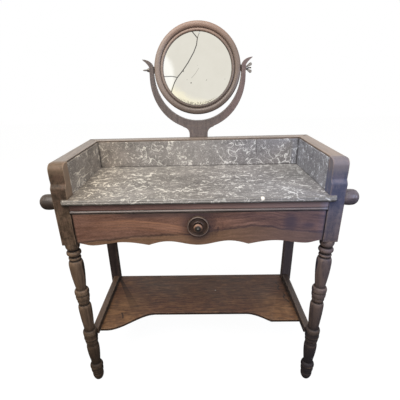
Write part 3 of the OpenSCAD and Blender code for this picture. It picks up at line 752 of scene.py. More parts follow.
def front_leg(node, side):
    def put_turning(u, v, z):
        return place(LEG_X * side + u, LEG_Y + v, z)

    def put_block(y, z, w):
        return place((POST_IN + w) * side, y, z)

    islands = [turned(TURNING, put_turning, step=1.5, dust=0.5), prism(POST_SIDE, POST_W, put_block)]
    wooden(node, islands, "Z", LEG_BROWN, pith=leg_pith(side), shine=0.52, wear=0.6, gloss=0.18,
           age=leg_shading_and_patina)


def rear_leg(node, side):
    board(node, (REAR_IN, REAR_Y, 0), (REAR_OUT, STAND_D, GALLERY_Z), "Z", 1.5, REAR_BROWN, side,
          pith=leg_pith(side), wear=0.35, gloss=0.25, age=rear_age)


# ---- case

BOARD_Z = 645
BACK_T = 14
BACK_RAIL_Z = GALLERY_Z - 32
RAIL_H = 21
RAIL_Z = SLAB_Z - RAIL_H
BEAD_H = 9.5


def side_board(node, side):
    board(node, (SPLASH_OUT, POST_W, BOARD_Z), (REAR_OUT, REAR_Y, GALLERY_Z), "Y", 0.8, POST_BROWN, side,
          pith=(0.3, 0.2), wear=0.3)


def back_boards():
    board("back_board", (-REAR_IN, REAR_Y, BOARD_Z), (REAR_IN, REAR_Y + BACK_T, BACK_RAIL_Z), "X", 0.8,
          PLAIN_BROWN, slot="plain_wood", kind="poplar", pith=(0.6, 0.9), shine=0.75, wear=0.1)
    board("gallery_back_rail", (-REAR_IN, REAR_Y, BACK_RAIL_Z), (REAR_IN, STAND_D, GALLERY_Z), "X", 1,
          POST_BROWN, pith=(0.5, 0.9))


def cap_age(s, x, y, z):
    """The cap is duller on the left and warmer on the right."""
    s.stain(GRIME_AND_SHADE, s.rise(x, -300, -410, 0.16))
    s.stain("#a98a72", s.rise(x, 300, 420, 0.25))


def cap_piece(node, plan, grain):
    """A board of the cap, mitred where its plan says, its top arrises rubbed round."""
    island = prism(plan, CAP_T, lambda x, y, w: place(x, y, GALLERY_Z + w), 0.5, 1.6, support=5, belt=2.5)
    wooden(node, [island], grain, CAP_BROWN, slot="worn_walnut", spread=0.8, pith=(0.2, 1.0), shine=0.36,
           age=cap_age)


def gallery_cap():
    seam = 0.15
    inner, rear = HALF_W - CAP_W, STAND_D - CAP_W
    cap_piece("gallery_cap_right", [(inner, POST_W), (HALF_W, POST_W), (HALF_W, STAND_D - seam),
                                    (inner, rear - seam)], "Y")
    cap_piece("gallery_cap_left", [(-HALF_W, POST_W), (-inner, POST_W), (-inner, rear - seam),
                                   (-HALF_W, STAND_D - seam)], "Y")
    back = [(-inner, rear), (inner, rear), (HALF_W, STAND_D), (-HALF_W, STAND_D)]
    cap_piece("gallery_cap_back", back, "X")


def rail_tone_and_shade(s, x, y, z):
    """The rail is paler toward its right end, with dirt at its left end and painted shade along its top and
    bottom edges, under the nosing and above the bead.
    """
    s.stain("#b1958a", s.soft(x, -330, 400, 0.62))
    s.stain(GRIME_AND_SHADE, s.soft(x, -300, -400, 0.35))
    # Painted shade along the top and bottom edges
    s.stain(GRIME_AND_SHADE, s.rise(s.away(z, RAIL_Z + RAIL_H / 2), RAIL_H / 2 - 3.5, RAIL_H / 2 - 1), 0.6)


def bead_highlight_and_shade(s, x, y, z):
    """The bead has a painted highlight along its crown and painted shade above and below it."""
    aside = s.away(z, RAIL_Z - BEAD_H / 2 + 0.8)
    # Painted shade above and below the crown, and a painted highlight on it
    s.stain(GRIME_AND_SHADE, s.soft(aside, 2.2, 3.8, 0.74))
    s.stain("#cfc4ba", s.soft(aside, 1.8, 0.8, 0.1))


def front_rail():
    board("front_rail", (-POST_IN, 1, RAIL_Z), (POST_IN, 41, SLAB_Z), "X", 0.8, RAIL_BROWN, slot="walnut",
          spread=0.7, pith=(0.2, 0.9), wear=0.3, age=rail_tone_and_shade)
    half = BEAD_H / 2
    section = arc((half - 1, RAIL_Z - half), (half, half), range(90, 271, 15))
    section += [(12, RAIL_Z - BEAD_H), (12, RAIL_Z)]
    island = prism(section[::-1], 2 * POST_IN, lambda y, z, w: place(w - POST_IN, y, z), 0.3, 0.5)
    wooden("bead_moulding", [island], "X", BEAD_BROWN, spread=0.7, pith=(0.3, 0.8), shine=0.3, wear=0.2,
           age=bead_highlight_and_shade)


# ---- marble

NOSING = 11
EAR_X = POST_IN + 21.5
EAR_R = 9
ARRIS_R = 6
SPLASH_BED = 1


def slab_marks(s, x, y, z):
    """A white blot on the nosing, a darker, greener corner at the right rear, and painted shade on the
    nosing's lower arris.
    """
    s.stain("#55564f", s.spot(x, y, (400, 300), (190, 260), 0.1), 0.4)
    s.stain("#403d3b", s.spot(x, y, (-20, 150), (300, 150), 0.2), 0.13)
    s.stain("#c4beb8", s.rise(y, 200, 380, 0.16))
    s.stain("#6f6b65", s.rise(y, 1, -7, 0.45))
    # Painted shade on the lower part of the nosing's front, where it turns under
    s.stain(SEAM_DIRT_AND_SHADE, s.rise(z, 789, 783, 0.6), s.rise(y, 2, -1))
    s.stain("#ece6da", s.spot(x, s.weighed((y, -0.6), base=z), (198, 803), (6.5, 5.5), 0.6))
    s.stain(SEAM_DIRT_AND_SHADE, s.soft(y, 372, 375.5), 0.7)


def splash_marks(s, x, y, z):
    """Dirt along the splashes' foot and inner corners, a crack down the back splash, and painted cool light
    on the right splash.
    """
    foot = s.times(s.soft(z, 806, 800.5), s.remap(x, -385, -340, 0.15, 0.6))
    corner = s.times(s.soft(s.away(x), 396, 403), s.soft(y, 368, 375.5), 0.7)
    s.stain(SEAM_DIRT_AND_SHADE, s.highest(foot, corner))
    s.stain("#bcb6ae", s.spot(x, z, (-20, 850), (230, 130), 0.2), 0.22)
    # Painted cool light on the right splash
    s.stain((1.0, 1.05, 1.14), s.rise(x, 375, 385), blend="MULTIPLY")
    crack = s.near_path(x, z, [(235, 904), (234, 890), (236, 876), (239, 862), (238, 850)], 1.5)
    s.stain(SEAM_DIRT_AND_SHADE, crack, 0.8)


def slab_plan():
    """Plan of the slab: notched round the posts, with an ear in front of each post."""
    right = arc((EAR_X - EAR_R, EAR_R - NOSING), (EAR_R, EAR_R), range(-90, 1, 9))
    right += [(EAR_X, 0), (POST_IN, 0), (POST_IN, POST_W), (SPLASH_OUT, POST_W), (SPLASH_OUT, REAR_Y - 0.5)]
    return mirrored(right) + right


def marble_top():
    def nosed(x, y):
        return 1.0 if y < -0.01 else 0.04

    island = prism(slab_plan(), MARBLE_T, lambda x, y, w: place(x, y, SLAB_Z + w), 0.2, ARRIS_R, nosed)
    look = marble("marble_slab", 0.96, 0.9, (0.8, 1.05, 1.0), slab_marks)
    piece("marble_top", [island], look)


def splashes():
    """The splashes, bedded in the slab. The left one's veins run along it."""
    front = REAR_Y - MARBLE_T
    end = ((SPLASH_OUT - MARBLE_T, POST_W), (SPLASH_OUT, front))
    back = ((-SPLASH_OUT, front), (SPLASH_OUT, REAR_Y))
    rows = (("left", LEFT, end, 1.36, 0.6), ("right", RIGHT, end, 1.25, 1), ("back", RIGHT, back, 1.2, 1))
    for word, side, (low, high), lift, draw in rows:
        node = f"marble_splash_{word}"
        island = plank((*low, TOP_Z - SPLASH_BED), (*high, GALLERY_Z), "X", 0.7, side)
        look = marble(f"{node}_stone", lift, 0.72, (1, draw, 1), splash_marks)
        piece(node, [island], look)


# ---- drawer

DRAWER_HALF = POST_IN - 2.5
FRONT_Y = 2
FRONT_T = 20
FRONT_TOP = 750
KNOB_Z = 703
LOBE_Z, CREST_Z, CUSP_Z, WAVE_Z, TROUGH_Z, END_Z = -4.7, 9.7, -3.2, 8.5, -2.3, 7


def scallop(x):
    """Height of the drawer front's lower edge over the bottom of the posts' blocks."""
    a = abs(x)
    if a < 100:
        return ease_between(LOBE_Z, CREST_Z, a / 100)
    if a < 163:
        return lerp(CUSP_Z, CREST_Z, cos(pi / 2 * (a - 100) / 63))
    if a < 250:
        return lerp(CUSP_Z, WAVE_Z, sin(pi / 2 * (a - 163) / 87))
    if a < 349:
        return ease_between(WAVE_Z, TROUGH_Z, (a - 250) / 99)
    return ease_between(TROUGH_Z, END_Z, min(1, (a - 349) / 50.5))


# Height of the paler wood's upper edge along the drawer front
PALE_EDGE = [(-400, 646), (-306, 654), (-190, 666), (-92, 670), (-10, 671), (70, 684), (118, 692),
             (181, 698), (229, 696), (277, 685), (325, 678), (400, 671)]
# The paler lines of the figure left of the knob, how far each lies below the first, and how strong
LIGHT_ARCH = [(-400, 712), (-330, 720), (-216, 724), (-121, 714), (-30, 694)]
LIGHT_LINES = ((0, 0.34), (8, 0.22), (17, 0.24), (27, 0.15))
# Middle, radii and strength of the ink stains on the drawer front
INK_STAINS = (((292, 714), (34, 46), 0.85), ((352, 700), (30, 16), 0.75), ((325, 704), (70, 14), 0.4),
              ((150, 735), (160, 14), 0.3))


def drawer_figure_and_light(s, x, y, z):
    """The drawer front's figure: golden wood below an arched line, a knot and old ink stains, under painted
    cool light toward the right, with painted shade in the gaps at its ends and top.
    """
    mottle = s.noise(s.here, (0.03, 0.16, 0.16), 4, 0.7)
    s.stain(GRIME_AND_SHADE, s.rise(mottle, 0.46, 0.66, 0.4))
    s.stain("#b07f5f", s.rise(mottle, 0.48, 0.3, 0.3))
    grain = s.noise(s.here, (0.16, 0.5, 0.5), 3, 0.7)
    s.stain(GRIME_AND_SHADE, s.rise(grain, 0.5, 0.66, 0.42))
    s.stain("#b98a69", s.rise(grain, 0.48, 0.34, 0.3))
    over = s.weighed((z, 1), (s.curve(x, PALE_EDGE), -1), (s.noise(s.here, 0.05), 9), base=-4.5)
    s.stain("#955f49", s.soft(over, 0, 14, 0.22))
    flame = s.noise(s.joined(s.times(x, 0.007), s.times(over, 0.12)), 1, 4, 0.7)
    rightward = s.remap(x, 20, 140, 0.25, 1.0)
    s.stain(GRIME_AND_SHADE, s.rise(flame, 0.46, 0.62, 0.55), rightward)
    s.stain("#b98f7c", s.rise(flame, 0.47, 0.36, 0.4), rightward)
    s.stain("#8f6d4c", s.soft(over, 2, -3, 0.45))
    s.stain(GRIME_AND_SHADE, s.soft(over, -1, 2), s.soft(over, 10, 2), 0.58)
    begun = s.soft(x, -385, -230)
    for drop, share in LIGHT_LINES:
        light = s.near_path(x, s.math("ADD", z, drop), LIGHT_ARCH, 4.5)
        s.stain("#c58f6a", light, begun, share)
    s.stain("#443a3d", s.soft(z, 726, 742), s.spot(x, z, (-90, 742), (210, 34), 0.5), 0.6)
    for middle, radii, share in INK_STAINS:
        s.stain("#3b2f38", s.spot(x, z, middle, radii, 0.2), share)
    swirl = s.away(s.noise(s.here, (0.03, 0.03, 0.014), 3, 0.6, 2.5), 0.5)
    s.stain("#2f2529", s.rise(swirl, 0.05, 0.0), s.spot(x, z, (52, 706), (42, 54), 0.3), 0.85)
    # Painted cool light: a mauve cast toward the right
    s.stain("#5c4548", s.rise(x, -60, 390, 0.3))
    halo = s.weighed((mottle, 30), base=from_knob(s, x, z))
    s.stain("#3a3036", s.soft(halo, 84, 52, 0.6))
    # Painted shade in the gaps at the ends and under the bead
    ends = s.rise(s.away(x), DRAWER_HALF - 5, DRAWER_HALF - 1.5)
    s.stain(GRIME_AND_SHADE, s.highest(ends, s.rise(z, FRONT_TOP - 4, FRONT_TOP - 1)), 0.8)


def drawer_front():
    steps = [*range(0, 161, 8), 163, *range(170, 349, 8), *range(349, 396, 8), DRAWER_HALF]
    right = [(x, BLOCK_Z + scallop(x)) for x in steps]
    outline = mirrored(right[1:]) + right + [(DRAWER_HALF, FRONT_TOP), (-DRAWER_HALF, FRONT_TOP)]
    island = prism(outline, FRONT_T, lambda x, z, w: place(x, FRONT_Y + w, z), 1, 1, belt=2)
    wooden("drawer_front", [island], "X", DRAWER_BROWN, "drawer", "walnut", rings=0.007, pith=(0.12, 0.76),
           wear=0.3, lines=0.4, age=drawer_figure_and_light)


ROSETTE_R = 35.8
ROSETTE = (
    [(7.2, 0.1), (ROSETTE_R, 0.1), (ROSETTE_R, 2.5)]
    + arc((ROSETTE_R - 3.6, 3.5), (3, 4.5), range(0, 181, 12))
    + [(27, 2.6), (24, 2.8), (23.6, 3.3), (23.2, 2.9), (19, 3.4)]
    + arc((15.2, 3.6), (2.2, 2.2), range(0, 181, 20)) + [(12.5, 3), (7.2, 3)]
)
KNOB = (
    [(0, 1), (7, 1), (7, 3.05), (9.5, 3.05), (9.5, 5), (6.4, 7), (6.2, 8.5)]
    + bead(9, 21.5, 7, 10.5, 5.2) + [(10.2, 22.6), (8.8, 22.2), (6, 23.2), (4.6, 24), (0, 24)]
)
BOLT = [(0, 22), (4.2, 22), (4.2, 25.5)] + quarter(4.2, 0, 25.5, 29)


def from_knob(s, x, z):
    """How far a point lies from the knob's axis."""
    return s.reach(x, s.math("SUBTRACT", z, KNOB_Z))


def rosette_age(s, x, y, z):
    """The rosette's rim is rubbed along its crest, and its outside and hollow are dark."""
    out = from_knob(s, x, z)
    s.stain(GRIME_AND_SHADE, s.rise(out, ROSETTE_R - 2.2, ROSETTE_R - 0.6, 0.6))
    s.stain("#2c2226", s.rise(out, ROSETTE_R - 6, ROSETTE_R - 8, 0.3))
    s.stain("#a8948c", s.rise(s.away(out, ROSETTE_R - 3.4), 1.5, 0.5, 0.5))


def knob_tone_and_highlight(s, x, y, z):
    """The knob is black round its bolt and has a painted copper highlight along the top of its rim."""
    out = from_knob(s, x, z)
    # Painted copper highlight along the top of the rim
    s.stain("#c79a80", s.soft(out, 9.5, 11), s.rise(z, KNOB_Z - 3, KNOB_Z + 8), 0.38)
    s.stain("#343531", s.rise(out, 10.5, 9, 0.85))


def knob():
    def put(u, v, height):
        return place(u, FRONT_Y - height, KNOB_Z + v)

    dark = wood("rosette", "X", POST_BROWN, pith=(0.05, 0.75), shine=0.34, wear=0.2, age=rosette_age)
    rubbed = wood("knob", "Y", KNOB_BROWN, pith=(0.03, 0.02), shine=0.32, wear=0.3, age=knob_tone_and_highlight)
    iron = metal("bolt_iron", "#75716c")
    piece("knob_rosette", [turned(ROSETTE, put, 96, 0.8)], dark, "drawer")
    piece("drawer_knob", [turned(KNOB, put, 64, 0.8)], rubbed, "drawer")
    piece("knob_bolt", [turned(BOLT, put, 48, 0.5)], iron, "drawer")


# ---- shelf and stretchers

STRETCHER_IN = LEG_X - 15.3 - 12
STRETCHER_W = 24
STRETCHER_Z = 249
STRETCHER_H = 28
SHELF_Z = STRETCHER_Z - 20.5
SHELF_T = 14
SHELF_BACK = STAND_D - 3
BREAK_Y = 103


def stretcher_shade_and_tone(s, x, y, z):
    """Inner faces have painted shade down to the shelf, and the right stretcher is greyer."""
    # Painted shade on the inner faces, above the sunken shelf
    s.stain(GRIME_AND_SHADE, s.rise(s.away(x), STRETCHER_IN + 2.2, STRETCHER_IN + 0.8, 0.9))
    s.stain("#3d3532", s.rise(x, 0, 300, 0.6))


def stretcher(node, side):
    board(node, (STRETCHER_IN, LEG_Y + 16, STRETCHER_Z - STRETCHER_H),
          (STRETCHER_IN + STRETCHER_W, REAR_Y, STRETCHER_Z), "Y", 1.6, STRETCHER_BROWN, side, "walnut",
          spread=0.8, pith=(0.4 * side, -0.6), wear=0.6, age=stretcher_shade_and_tone)


def shelf_edge(x):
    """How far back the shelf's front edge lies."""
    y = ease_between(150, 60, min(1, max(0, (abs(x) - 190) / 188)))
    return max(y, BREAK_Y) if x > 0 else y


SHELF_CRACKS = (
    [(360, 349), (362, 337), (369, 329), (362, 318), (358, 309), (363, 299)],
    [(375, 273), (380, 258), (370, 248), (372, 234), (381, 224), (386, 210)],
    [(-333, 149), (-326, 133), (-322, 118)],
)


def shelf_marks_and_shade(s, x, y, z):
    """The shelf is paler orange at its front corners, cracked and dented in places, with painted shade
    beside the stretchers and along its front edge.
    """
    out = s.away(x)
    patchy = s.remap(s.noise(s.here, 0.02, 5, 0.65), 0.35, 0.65, 0.25, 1.0)
    s.stain("#9d744d", s.soft(out, 190, 330), s.soft(y, 330, 150), patchy, 0.78)
    s.stain("#9a7048", s.rise(s.noise(s.here, (0.02, 0.045, 0.045), 5, 0.7), 0.5, 0.72, 0.3))
    # Painted shade beside the stretchers' inner faces
    s.stain(GRIME_AND_SHADE, s.soft(out, STRETCHER_IN - 7, STRETCHER_IN + 1, 0.85))
    for path in SHELF_CRACKS:
        s.stain(GRIME_AND_SHADE, s.near_path(x, y, path, 5), 0.85)
    s.stain("#c9bcae", s.spot(x, y, (69, 298), (5, 5)), 0.7)
    speckle = s.noise(s.here, (0.022, 0.13, 0.13), 5, 0.75)
    s.stain(GRIME_AND_SHADE, s.rise(speckle, 0.47, 0.64, 0.55))
    s.stain("#a67c56", s.rise(speckle, 0.48, 0.32, 0.4))
    # Painted shade on the front edge, below the top
    s.stain(GRIME_AND_SHADE, s.soft(z, SHELF_Z - 2.5, SHELF_Z - 5, 0.8))


def shelf():
    def put(x, y, w):
        return place(x, y, SHELF_Z - SHELF_T + w)

    end = STRETCHER_IN + 7.8
    front = [(x, shelf_edge(x)) for x in (-end, *range(-398, 400, 7), end)]
    back = [(end, REAR_Y), (REAR_IN, REAR_Y), (REAR_IN, SHELF_BACK)]
    island = prism(front + back + mirrored(back), SHELF_T, put, 1, 3)
    wooden("shelf", [island], "X", SHELF_BROWN, slot="walnut", spread=0.8, pith=(0.15, 0.35), shine=0.58,
           wear=0.2, age=shelf_marks_and_shade)


# ---- towel bars

BALL_R = 25.3
BALL_L = 50
BELLY_L = 22
BAR_Z = 785
BAR_R = 9


def ball_knob(node, side, x, y, base_r, neck):
    """Ball knob on a post's outer face: a neck, a belly, a turned line and a dome."""
    belly = [(lerp(base_r, BALL_R, sin(radians(a))), neck + BELLY_L * a / 90) for a in range(0, 91, 9)]
    line = [(BALL_R - 0.2, neck + 27.6), (BALL_R - 1.3, neck + 28.5)]
    dome = quarter(BALL_R - 0.5, 0, neck + 29.4, neck + BALL_L)

    def put(u, v, height):
        return place((x + height) * side, y + u, BAR_Z + v)

    island = turned([(0, 0), (base_r, 0)] + belly + line + dome, put, 72, 1.2)
    wooden(node, [island], "X", BALL_BROWN_AND_COOL_LIGHT[side], pith=(0.04, 0.8), shine=0.36, wear=0.35)


def towel_bar(node, side):
    """Bar between the ball knobs, a little uneven along its length."""
    span = STAND_D - REAR_LEG[1] / 2 - LEG_Y - 26
    profile = [(0, 0)] + [(BAR_R + 0.25 * sin(7 * k) - 0.3, span * k / 24) for k in range(25)] + [(0, span)]

    def put(u, v, height):
        return place((HALF_W + BALL_L / 2) * side + u, LEG_Y + 13 + height, BAR_Z + v)

    island = turned(profile, put, 40, 8)
    wooden(node, [island], "Y", LEG_BROWN, slot="walnut", pith=(0.5 * side, 0.1), wear=0.4)


# ---- yoke

YOKE_T = 22
ARM_IN = FRAME_R + 2.8
ARM_OUT = ARM_IN + 16.2
HORN_X = ARM_OUT + 24
HORN_Z = 36
SEAT = 9
STEM_HALF = 37.5
STEM_Z = 690
FLARE_R = 27
FLARE_Z = GALLERY_Z + 20


def on_arc(radius, degrees_up):
    """A point about the mirror's centre, at an angle from straight down."""
    a = radians(degrees_up)
    return (radius * sin(a), -radius * cos(a))


def yoke_outline():
    """Outline about the mirror's centre: stem, flare, arm, seat of the rod and horn, mirrored."""
    half = [(STEM_HALF, STEM_Z - PIVOT_Z)]
    half += arc((STEM_HALF + FLARE_R, FLARE_Z - PIVOT_Z), (FLARE_R, FLARE_R), range(180, 99, -8))
    half += [on_arc(ARM_OUT - 1 + 40 * cos(radians(a)) ** 1.3, a) for a in range(17, 84, 3)]
    half += [(ARM_OUT, -SEAT), (ARM_OUT, SEAT)]
    half += [(lerp(ARM_OUT, HORN_X, (t / 10) ** 1.45), lerp(SEAT, HORN_Z, t / 10)) for t in range(1, 11)]
    half += arc((HORN_X, SEAT - 3), (ARM_IN - HORN_X, HORN_Z - SEAT + 4.5), range(90, -1, -9))
    half += [on_arc(ARM_IN + 22.5 * cos(radians(a)) ** 1.5, a) for a in range(88, 0, -4)]
    return half + mirrored(half)


def yoke_age(s, x, y, z):
    """The yoke's left arm is duller and its right arm redder, and its stem is speckled."""
    s.stain(GRIME_AND_SHADE, s.soft(x, -60, -150, 0.16))
    s.stain("#86645f", s.soft(x, 60, 150, 0.3))
    s.stain("#a58f80", s.rise(s.noise(s.here, 0.18, 3, 0.7), 0.5, 0.6, 0.2))


def mirror_yoke():
    def put(x, z, w):
        return place(MIRROR_X + x, STAND_D + w, PIVOT_Z + z)

    def thin_horn(x, z):
        return 0.15 if z > -2 else 1.0

    island = prism(yoke_outline(), YOKE_T, put, 0.4, 1.5, thin_horn, belt=2)
    wooden("mirror_yoke", [island], "Z", YOKE_BROWN, slot="walnut", spread=0.5, pith=(0.1, 0.6), wear=0.3,
           lines=0.04, age=yoke_age)


# ---- mirror

FRAME_BACK = -11
REBATE_R = 138
CROWN_R = 11
FRAME_SECTION = (
    [(REBATE_R, FRAME_BACK), (FRAME_R, FRAME_BACK), (FRAME_R, 4.5)]
    + arc((FRAME_R - CROWN_R, 4.5), (CROWN_R, 6.5), range(10, 180, 10))
    + [(FRAME_R - 2 * CROWN_R, 4.5), (FRAME_R - 23.5, 3.6)]
    + arc((SIGHT_R + 5.4, 4.2), (5.4, 3.6), range(20, 181, 20))
    + [(SIGHT_R, 2), (REBATE_R, 2), (REBATE_R, FRAME_BACK)]
)


def on_mirror(u, v, height):
    """A point by the mirror: u right, v up its face and height out of it."""
    return place(MIRROR_X + u, YOKE_Y + v * sin(TILT) - height * cos(TILT),
                 PIVOT_Z + v * cos(TILT) + height * sin(TILT))


def on_face(s, x, z):
    """Where a point lies on the mirror's face: to the right, up the face, and out from its middle."""
    u = s.math("SUBTRACT", x, MIRROR_X)
    v = s.math("DIVIDE", s.math("SUBTRACT", z, PIVOT_Z), cos(TILT))
    return u, v, s.reach(u, v)


def round_grain(s, point):
    """Unrolls the mirror's ring, so that the grain runs round it."""
    x, y, z = s.parts(point)
    u, v = s.math("SUBTRACT", x, MIRROR_X / 1000), s.math("SUBTRACT", z, PIVOT_Z / 1000)
    return s.joined(s.times(s.math("ARCTAN2", v, u), FRAME_R / 1000), y, s.reach(u, v))


def frame_light_and_tone(s, x, y, z):
    """The frame has painted warm light at its top, painted shade at its foot and in the rebate by the glass,
    and is pale on its left.
    """
    u, _, out = on_face(s, x, z)
    # Painted shade of the rebate along the sight edge
    s.stain(GRIME_AND_SHADE, s.soft(out, SIGHT_R + 5, SIGHT_R + 2, 0.55))
    s.stain("#b5a499", s.soft(u, -60, -150, 0.3))
    # Painted shade at the foot and painted warm light at the top
    s.stain(GRIME_AND_SHADE, s.soft(z, PIVOT_Z + 20, PIVOT_Z - 160, 0.36))
    s.stain("#a8826d", s.soft(z, PIVOT_Z + 50, PIVOT_Z + 166, 0.4))


def frame_relief(section):
    """Relief of the frame's face: its crown stands out and its groove lies deep."""
    values = []
    for r, h in section:
        near = [q[1] for q in section if abs(q[0] - r) < 6 and q[1] > 0]
        value = (h - sum(near) / len(near)) / 2.5 if near and h > 0 else 0.0
        values.append(max(-1.0, min(1.0, value)))
    return values


def mirror_frame(steps=320):
    fine = resample(FRAME_SECTION, 1.3)[:-1]
    rings = [[on_mirror(*on_circle(r, k / steps), h) for r, h in fine] for k in range(steps)]
    island = skinned(rings, frame_relief(fine) * steps, endless=True)
    wooden("mirror_frame", [island], "X", FRAME_BROWN, "mirror", "walnut", spread=0.35, pith=(0.2, 1.0),
           shine=0.36, wear=0.1, lines=0.06, age=frame_light_and_tone, bend=round_grain)


RIM_R = SIGHT_R + 6.5
GLASS_T = 3
CRACK_GAP = 0.5
MAIN_CRACK = [(-21.5, 135.2), (-16, 128.8), (-1.3, 111.7), (2, 108.6), (-1.8, 84.3), (-12.5, 59.9),
              (-35.6, 23), (-57, -4.9), (-78.5, -28.4), (-89.6, -45.9), (-99.2, -68.5), (-105.5, -86.5)]
TOP_CRACK = [(15, 136), (10.8, 128), (2, 108.6)]
SIDE_CRACK = [(-135, -24), (-128.7, -24), (-102.6, -23.7), (-88.9, -25.9), (-78.5, -28.4)]
SCRATCH = [(5.2, 3.1), (-8, -16), (-23.2, -31.4)]


def silvered(name):
    """Old mirror: silver that went dull and yellow at its left and lower edge, with specks."""
    s = Shader(name)
    at = s.place()
    x, _, z = s.measured()
    u, v, out = on_face(s, x, z)
    clouds = s.noise(at, 22, 4, 0.6)
    yellow = s.soft(s.weighed((u, -0.1736), (v, -0.2184), (clouds, 60), base=out), 152, 184)
    milky = s.weighed((clouds, 0.4), base=s.spot(u, v, (-150, -20), (90, 122), 0.1))
    specks = s.soft(s.noise(at, 300, 3, 0.7), 0.48, 0.56)
    specks = s.times(specks, s.soft(v, -96, -122), s.soft(out, 116, 127))
    dots = s.times(s.soft(s.noise(at, 95, 1), 0.78, 0.8), s.rise(v, 30, 0))
    dots = s.highest(dots, s.spot(u, v, (-25.3, -49.1), (4, 3.4)))
    faint = s.highest(s.near_path(u, v, SCRATCH, 1.6), s.near_path(u, v, TOP_CRACK, 2.4))
    crack = s.highest(s.near_path(u, v, MAIN_CRACK, 2.6), s.times(s.near_path(u, v, SIDE_CRACK, 2.4), 0.8),
                      s.spot(u, v, (-55, -5), (3.4, 5.5)))
    s.colour = "#e4e2da"
    s.stain("#fffae2", yellow)
    s.stain("#d2cfc4", s.rise(clouds, 0.35, 0.7, 0.2))
    s.stain("#fffffb", s.soft(milky, 0.36, 0.66))
    s.stain("#57534c", faint, 0.4)
    s.stain("#6f5a45", specks, 0.6)
    s.stain("#5d564c", dots, 0.6)
    s.stain("#4a433b", crack, 0.8)
    dull = s.highest(s.times(yellow, 0.05), s.times(s.highest(specks, dots), 0.7), crack)
    return s.finish(Roughness=s.remap(dull, 0, 1, 0.03, 0.5), Metallic=s.remap(dull, 0, 1, 1.0, 0.25),
                    Normal=s.bump(s.noise(at, 5, 2), 0.03, 0.0005))


def rim_between(start, end):
    """Points of the glass's round edge, counter-clockwise from one crack's end to another's."""
    a, b = atan2(start[1], start[0]), atan2(end[1], end[0])
    span = (b - a) % (2 * pi)
    steps = max(2, round(span / radians(3)))
    return [on_circle(RIM_R, (a + span * k / steps) / (2 * pi)) for k in range(1, steps)]


def shards():
    """The glass's four pieces, as outlines."""
    split = MAIN_CRACK.index(SIDE_CRACK[-1])
    fork = MAIN_CRACK.index(TOP_CRACK[-1])
    top, foot = MAIN_CRACK[0], MAIN_CRACK[-1]
    right = TOP_CRACK[::-1][1:]
    return {
        "right": MAIN_CRACK[fork:][::-1] + right + rim_between(foot, right[-1])[::-1],
        "wedge": MAIN_CRACK[:fork + 1] + right + rim_between(right[-1], top),
        "left": SIDE_CRACK[::-1] + rim_between(top, SIDE_CRACK[0])[::-1] + MAIN_CRACK[:split],
        "lower": SIDE_CRACK + MAIN_CRACK[split + 1:] + rim_between(SIDE_CRACK[0], foot)[::-1],
    }


def distinct(outline, least=0.3):
    """The outline without points that lie on top of the one before."""
    kept = []
    for point in outline:
        if not kept or hypot(point[0] - kept[-1][0], point[1] - kept[-1][1]) > least:
            kept.append(point)
    if hypot(kept[0][0] - kept[-1][0], kept[0][1] - kept[-1][1]) <= least:
        kept.pop()
    return kept


def counter_clockwise(outline):
    area = sum(a[0] * b[1] - b[0] * a[1] for a, b in zip(outline, outline[1:] + outline[:1]))
    return outline if area > 0 else outline[::-1]


def mirror_glass():
    """The cracked glass: its pieces lie side by side, with the dark backing seen between them."""
    def share(u, v):
        return 1.0 if (u, v) in MAIN_CRACK[2:] else 0.45 if hypot(u, v) < RIM_R - 1 else 0.1

    look = silvered("mirror_silvered_glass")
    for word, outline in shards().items():
        narrowed = distinct(inset(eased_outline(counter_clockwise(outline), 0, ease=share), CRACK_GAP))
        island = prism(narrowed, GLASS_T, lambda u, v, w: on_mirror(u, v, w - 1), 0.1, 0.15, belt=0.2)
        piece("mirror_glass", [island], look, "mirror", part=f"_{word}")


# ---- pivots

ROD_R = 3
ROD_SUNK = 21
ROD_OUT = 21.5
PITCH_OF_THREAD = 1.25
THREAD_DEPTH = 0.55
THREAD_STEP = 0.2
ROD_TIP = 0.6
WASHER_R = 12
WASHER_T = 2.2
WASHER_EDGE = 0.6
BORE_R = 3.06
NUT_SEAT = ARM_OUT + 0.4
NUT_TOP = NUT_SEAT + 9.5
WING_T = 3.2
LOBE = (17.5, 12.5)
LOBE_R = 6


def pivot(side):
    """Puts points of a turned piece on the pivots' axis, its height running outward."""
    def put(u, v, height):
        return place(MIRROR_X + height * side, YOKE_Y + u * side, PIVOT_Z + v)
    return put


def pivot_rod(node, side, steps=24):
    """Rod with a real screw thread over the length that shows."""
    put = pivot(side)
    start, plain, end = FRAME_R - ROD_SUNK, FRAME_R - 4, ARM_OUT + ROD_OUT
    threaded = [plain + THREAD_STEP * k for k in range(int((end - plain) / THREAD_STEP))]
    rings = []
    for height in [start, start + ROD_TIP] + threaded + [end]:
        ring = []
        for k in range(steps):
            turn = (height / PITCH_OF_THREAD - k / steps) % 1
            depth = THREAD_DEPTH * abs(2 * turn - 1) if plain < height < end - 0.5 else 0.0
            r = ROD_R - depth - (ROD_TIP if height in (start, end) else 0)
            ring.append(put(*on_circle(r, k / steps), height))
        rings.append(ring)
    island = skinned(rings, [0.0] * steps * len(rings))
    piece(node, [island], metal(f"{node}_iron", "#8a8077"), "mirror")


def pivot_washer(node, side):
    low, high, edge = FRAME_R + 0.2, FRAME_R + 0.2 + WASHER_T, WASHER_EDGE
    section = [(3.1, low), (WASHER_R - edge, low), (WASHER_R, low + edge), (WASHER_R, high - edge),
               (WASHER_R - edge, high), (3.1, high)]
    island = turned(section, pivot(side), 48, 1)
    piece(node, [island], leather(f"{node}_leather"), "mirror")


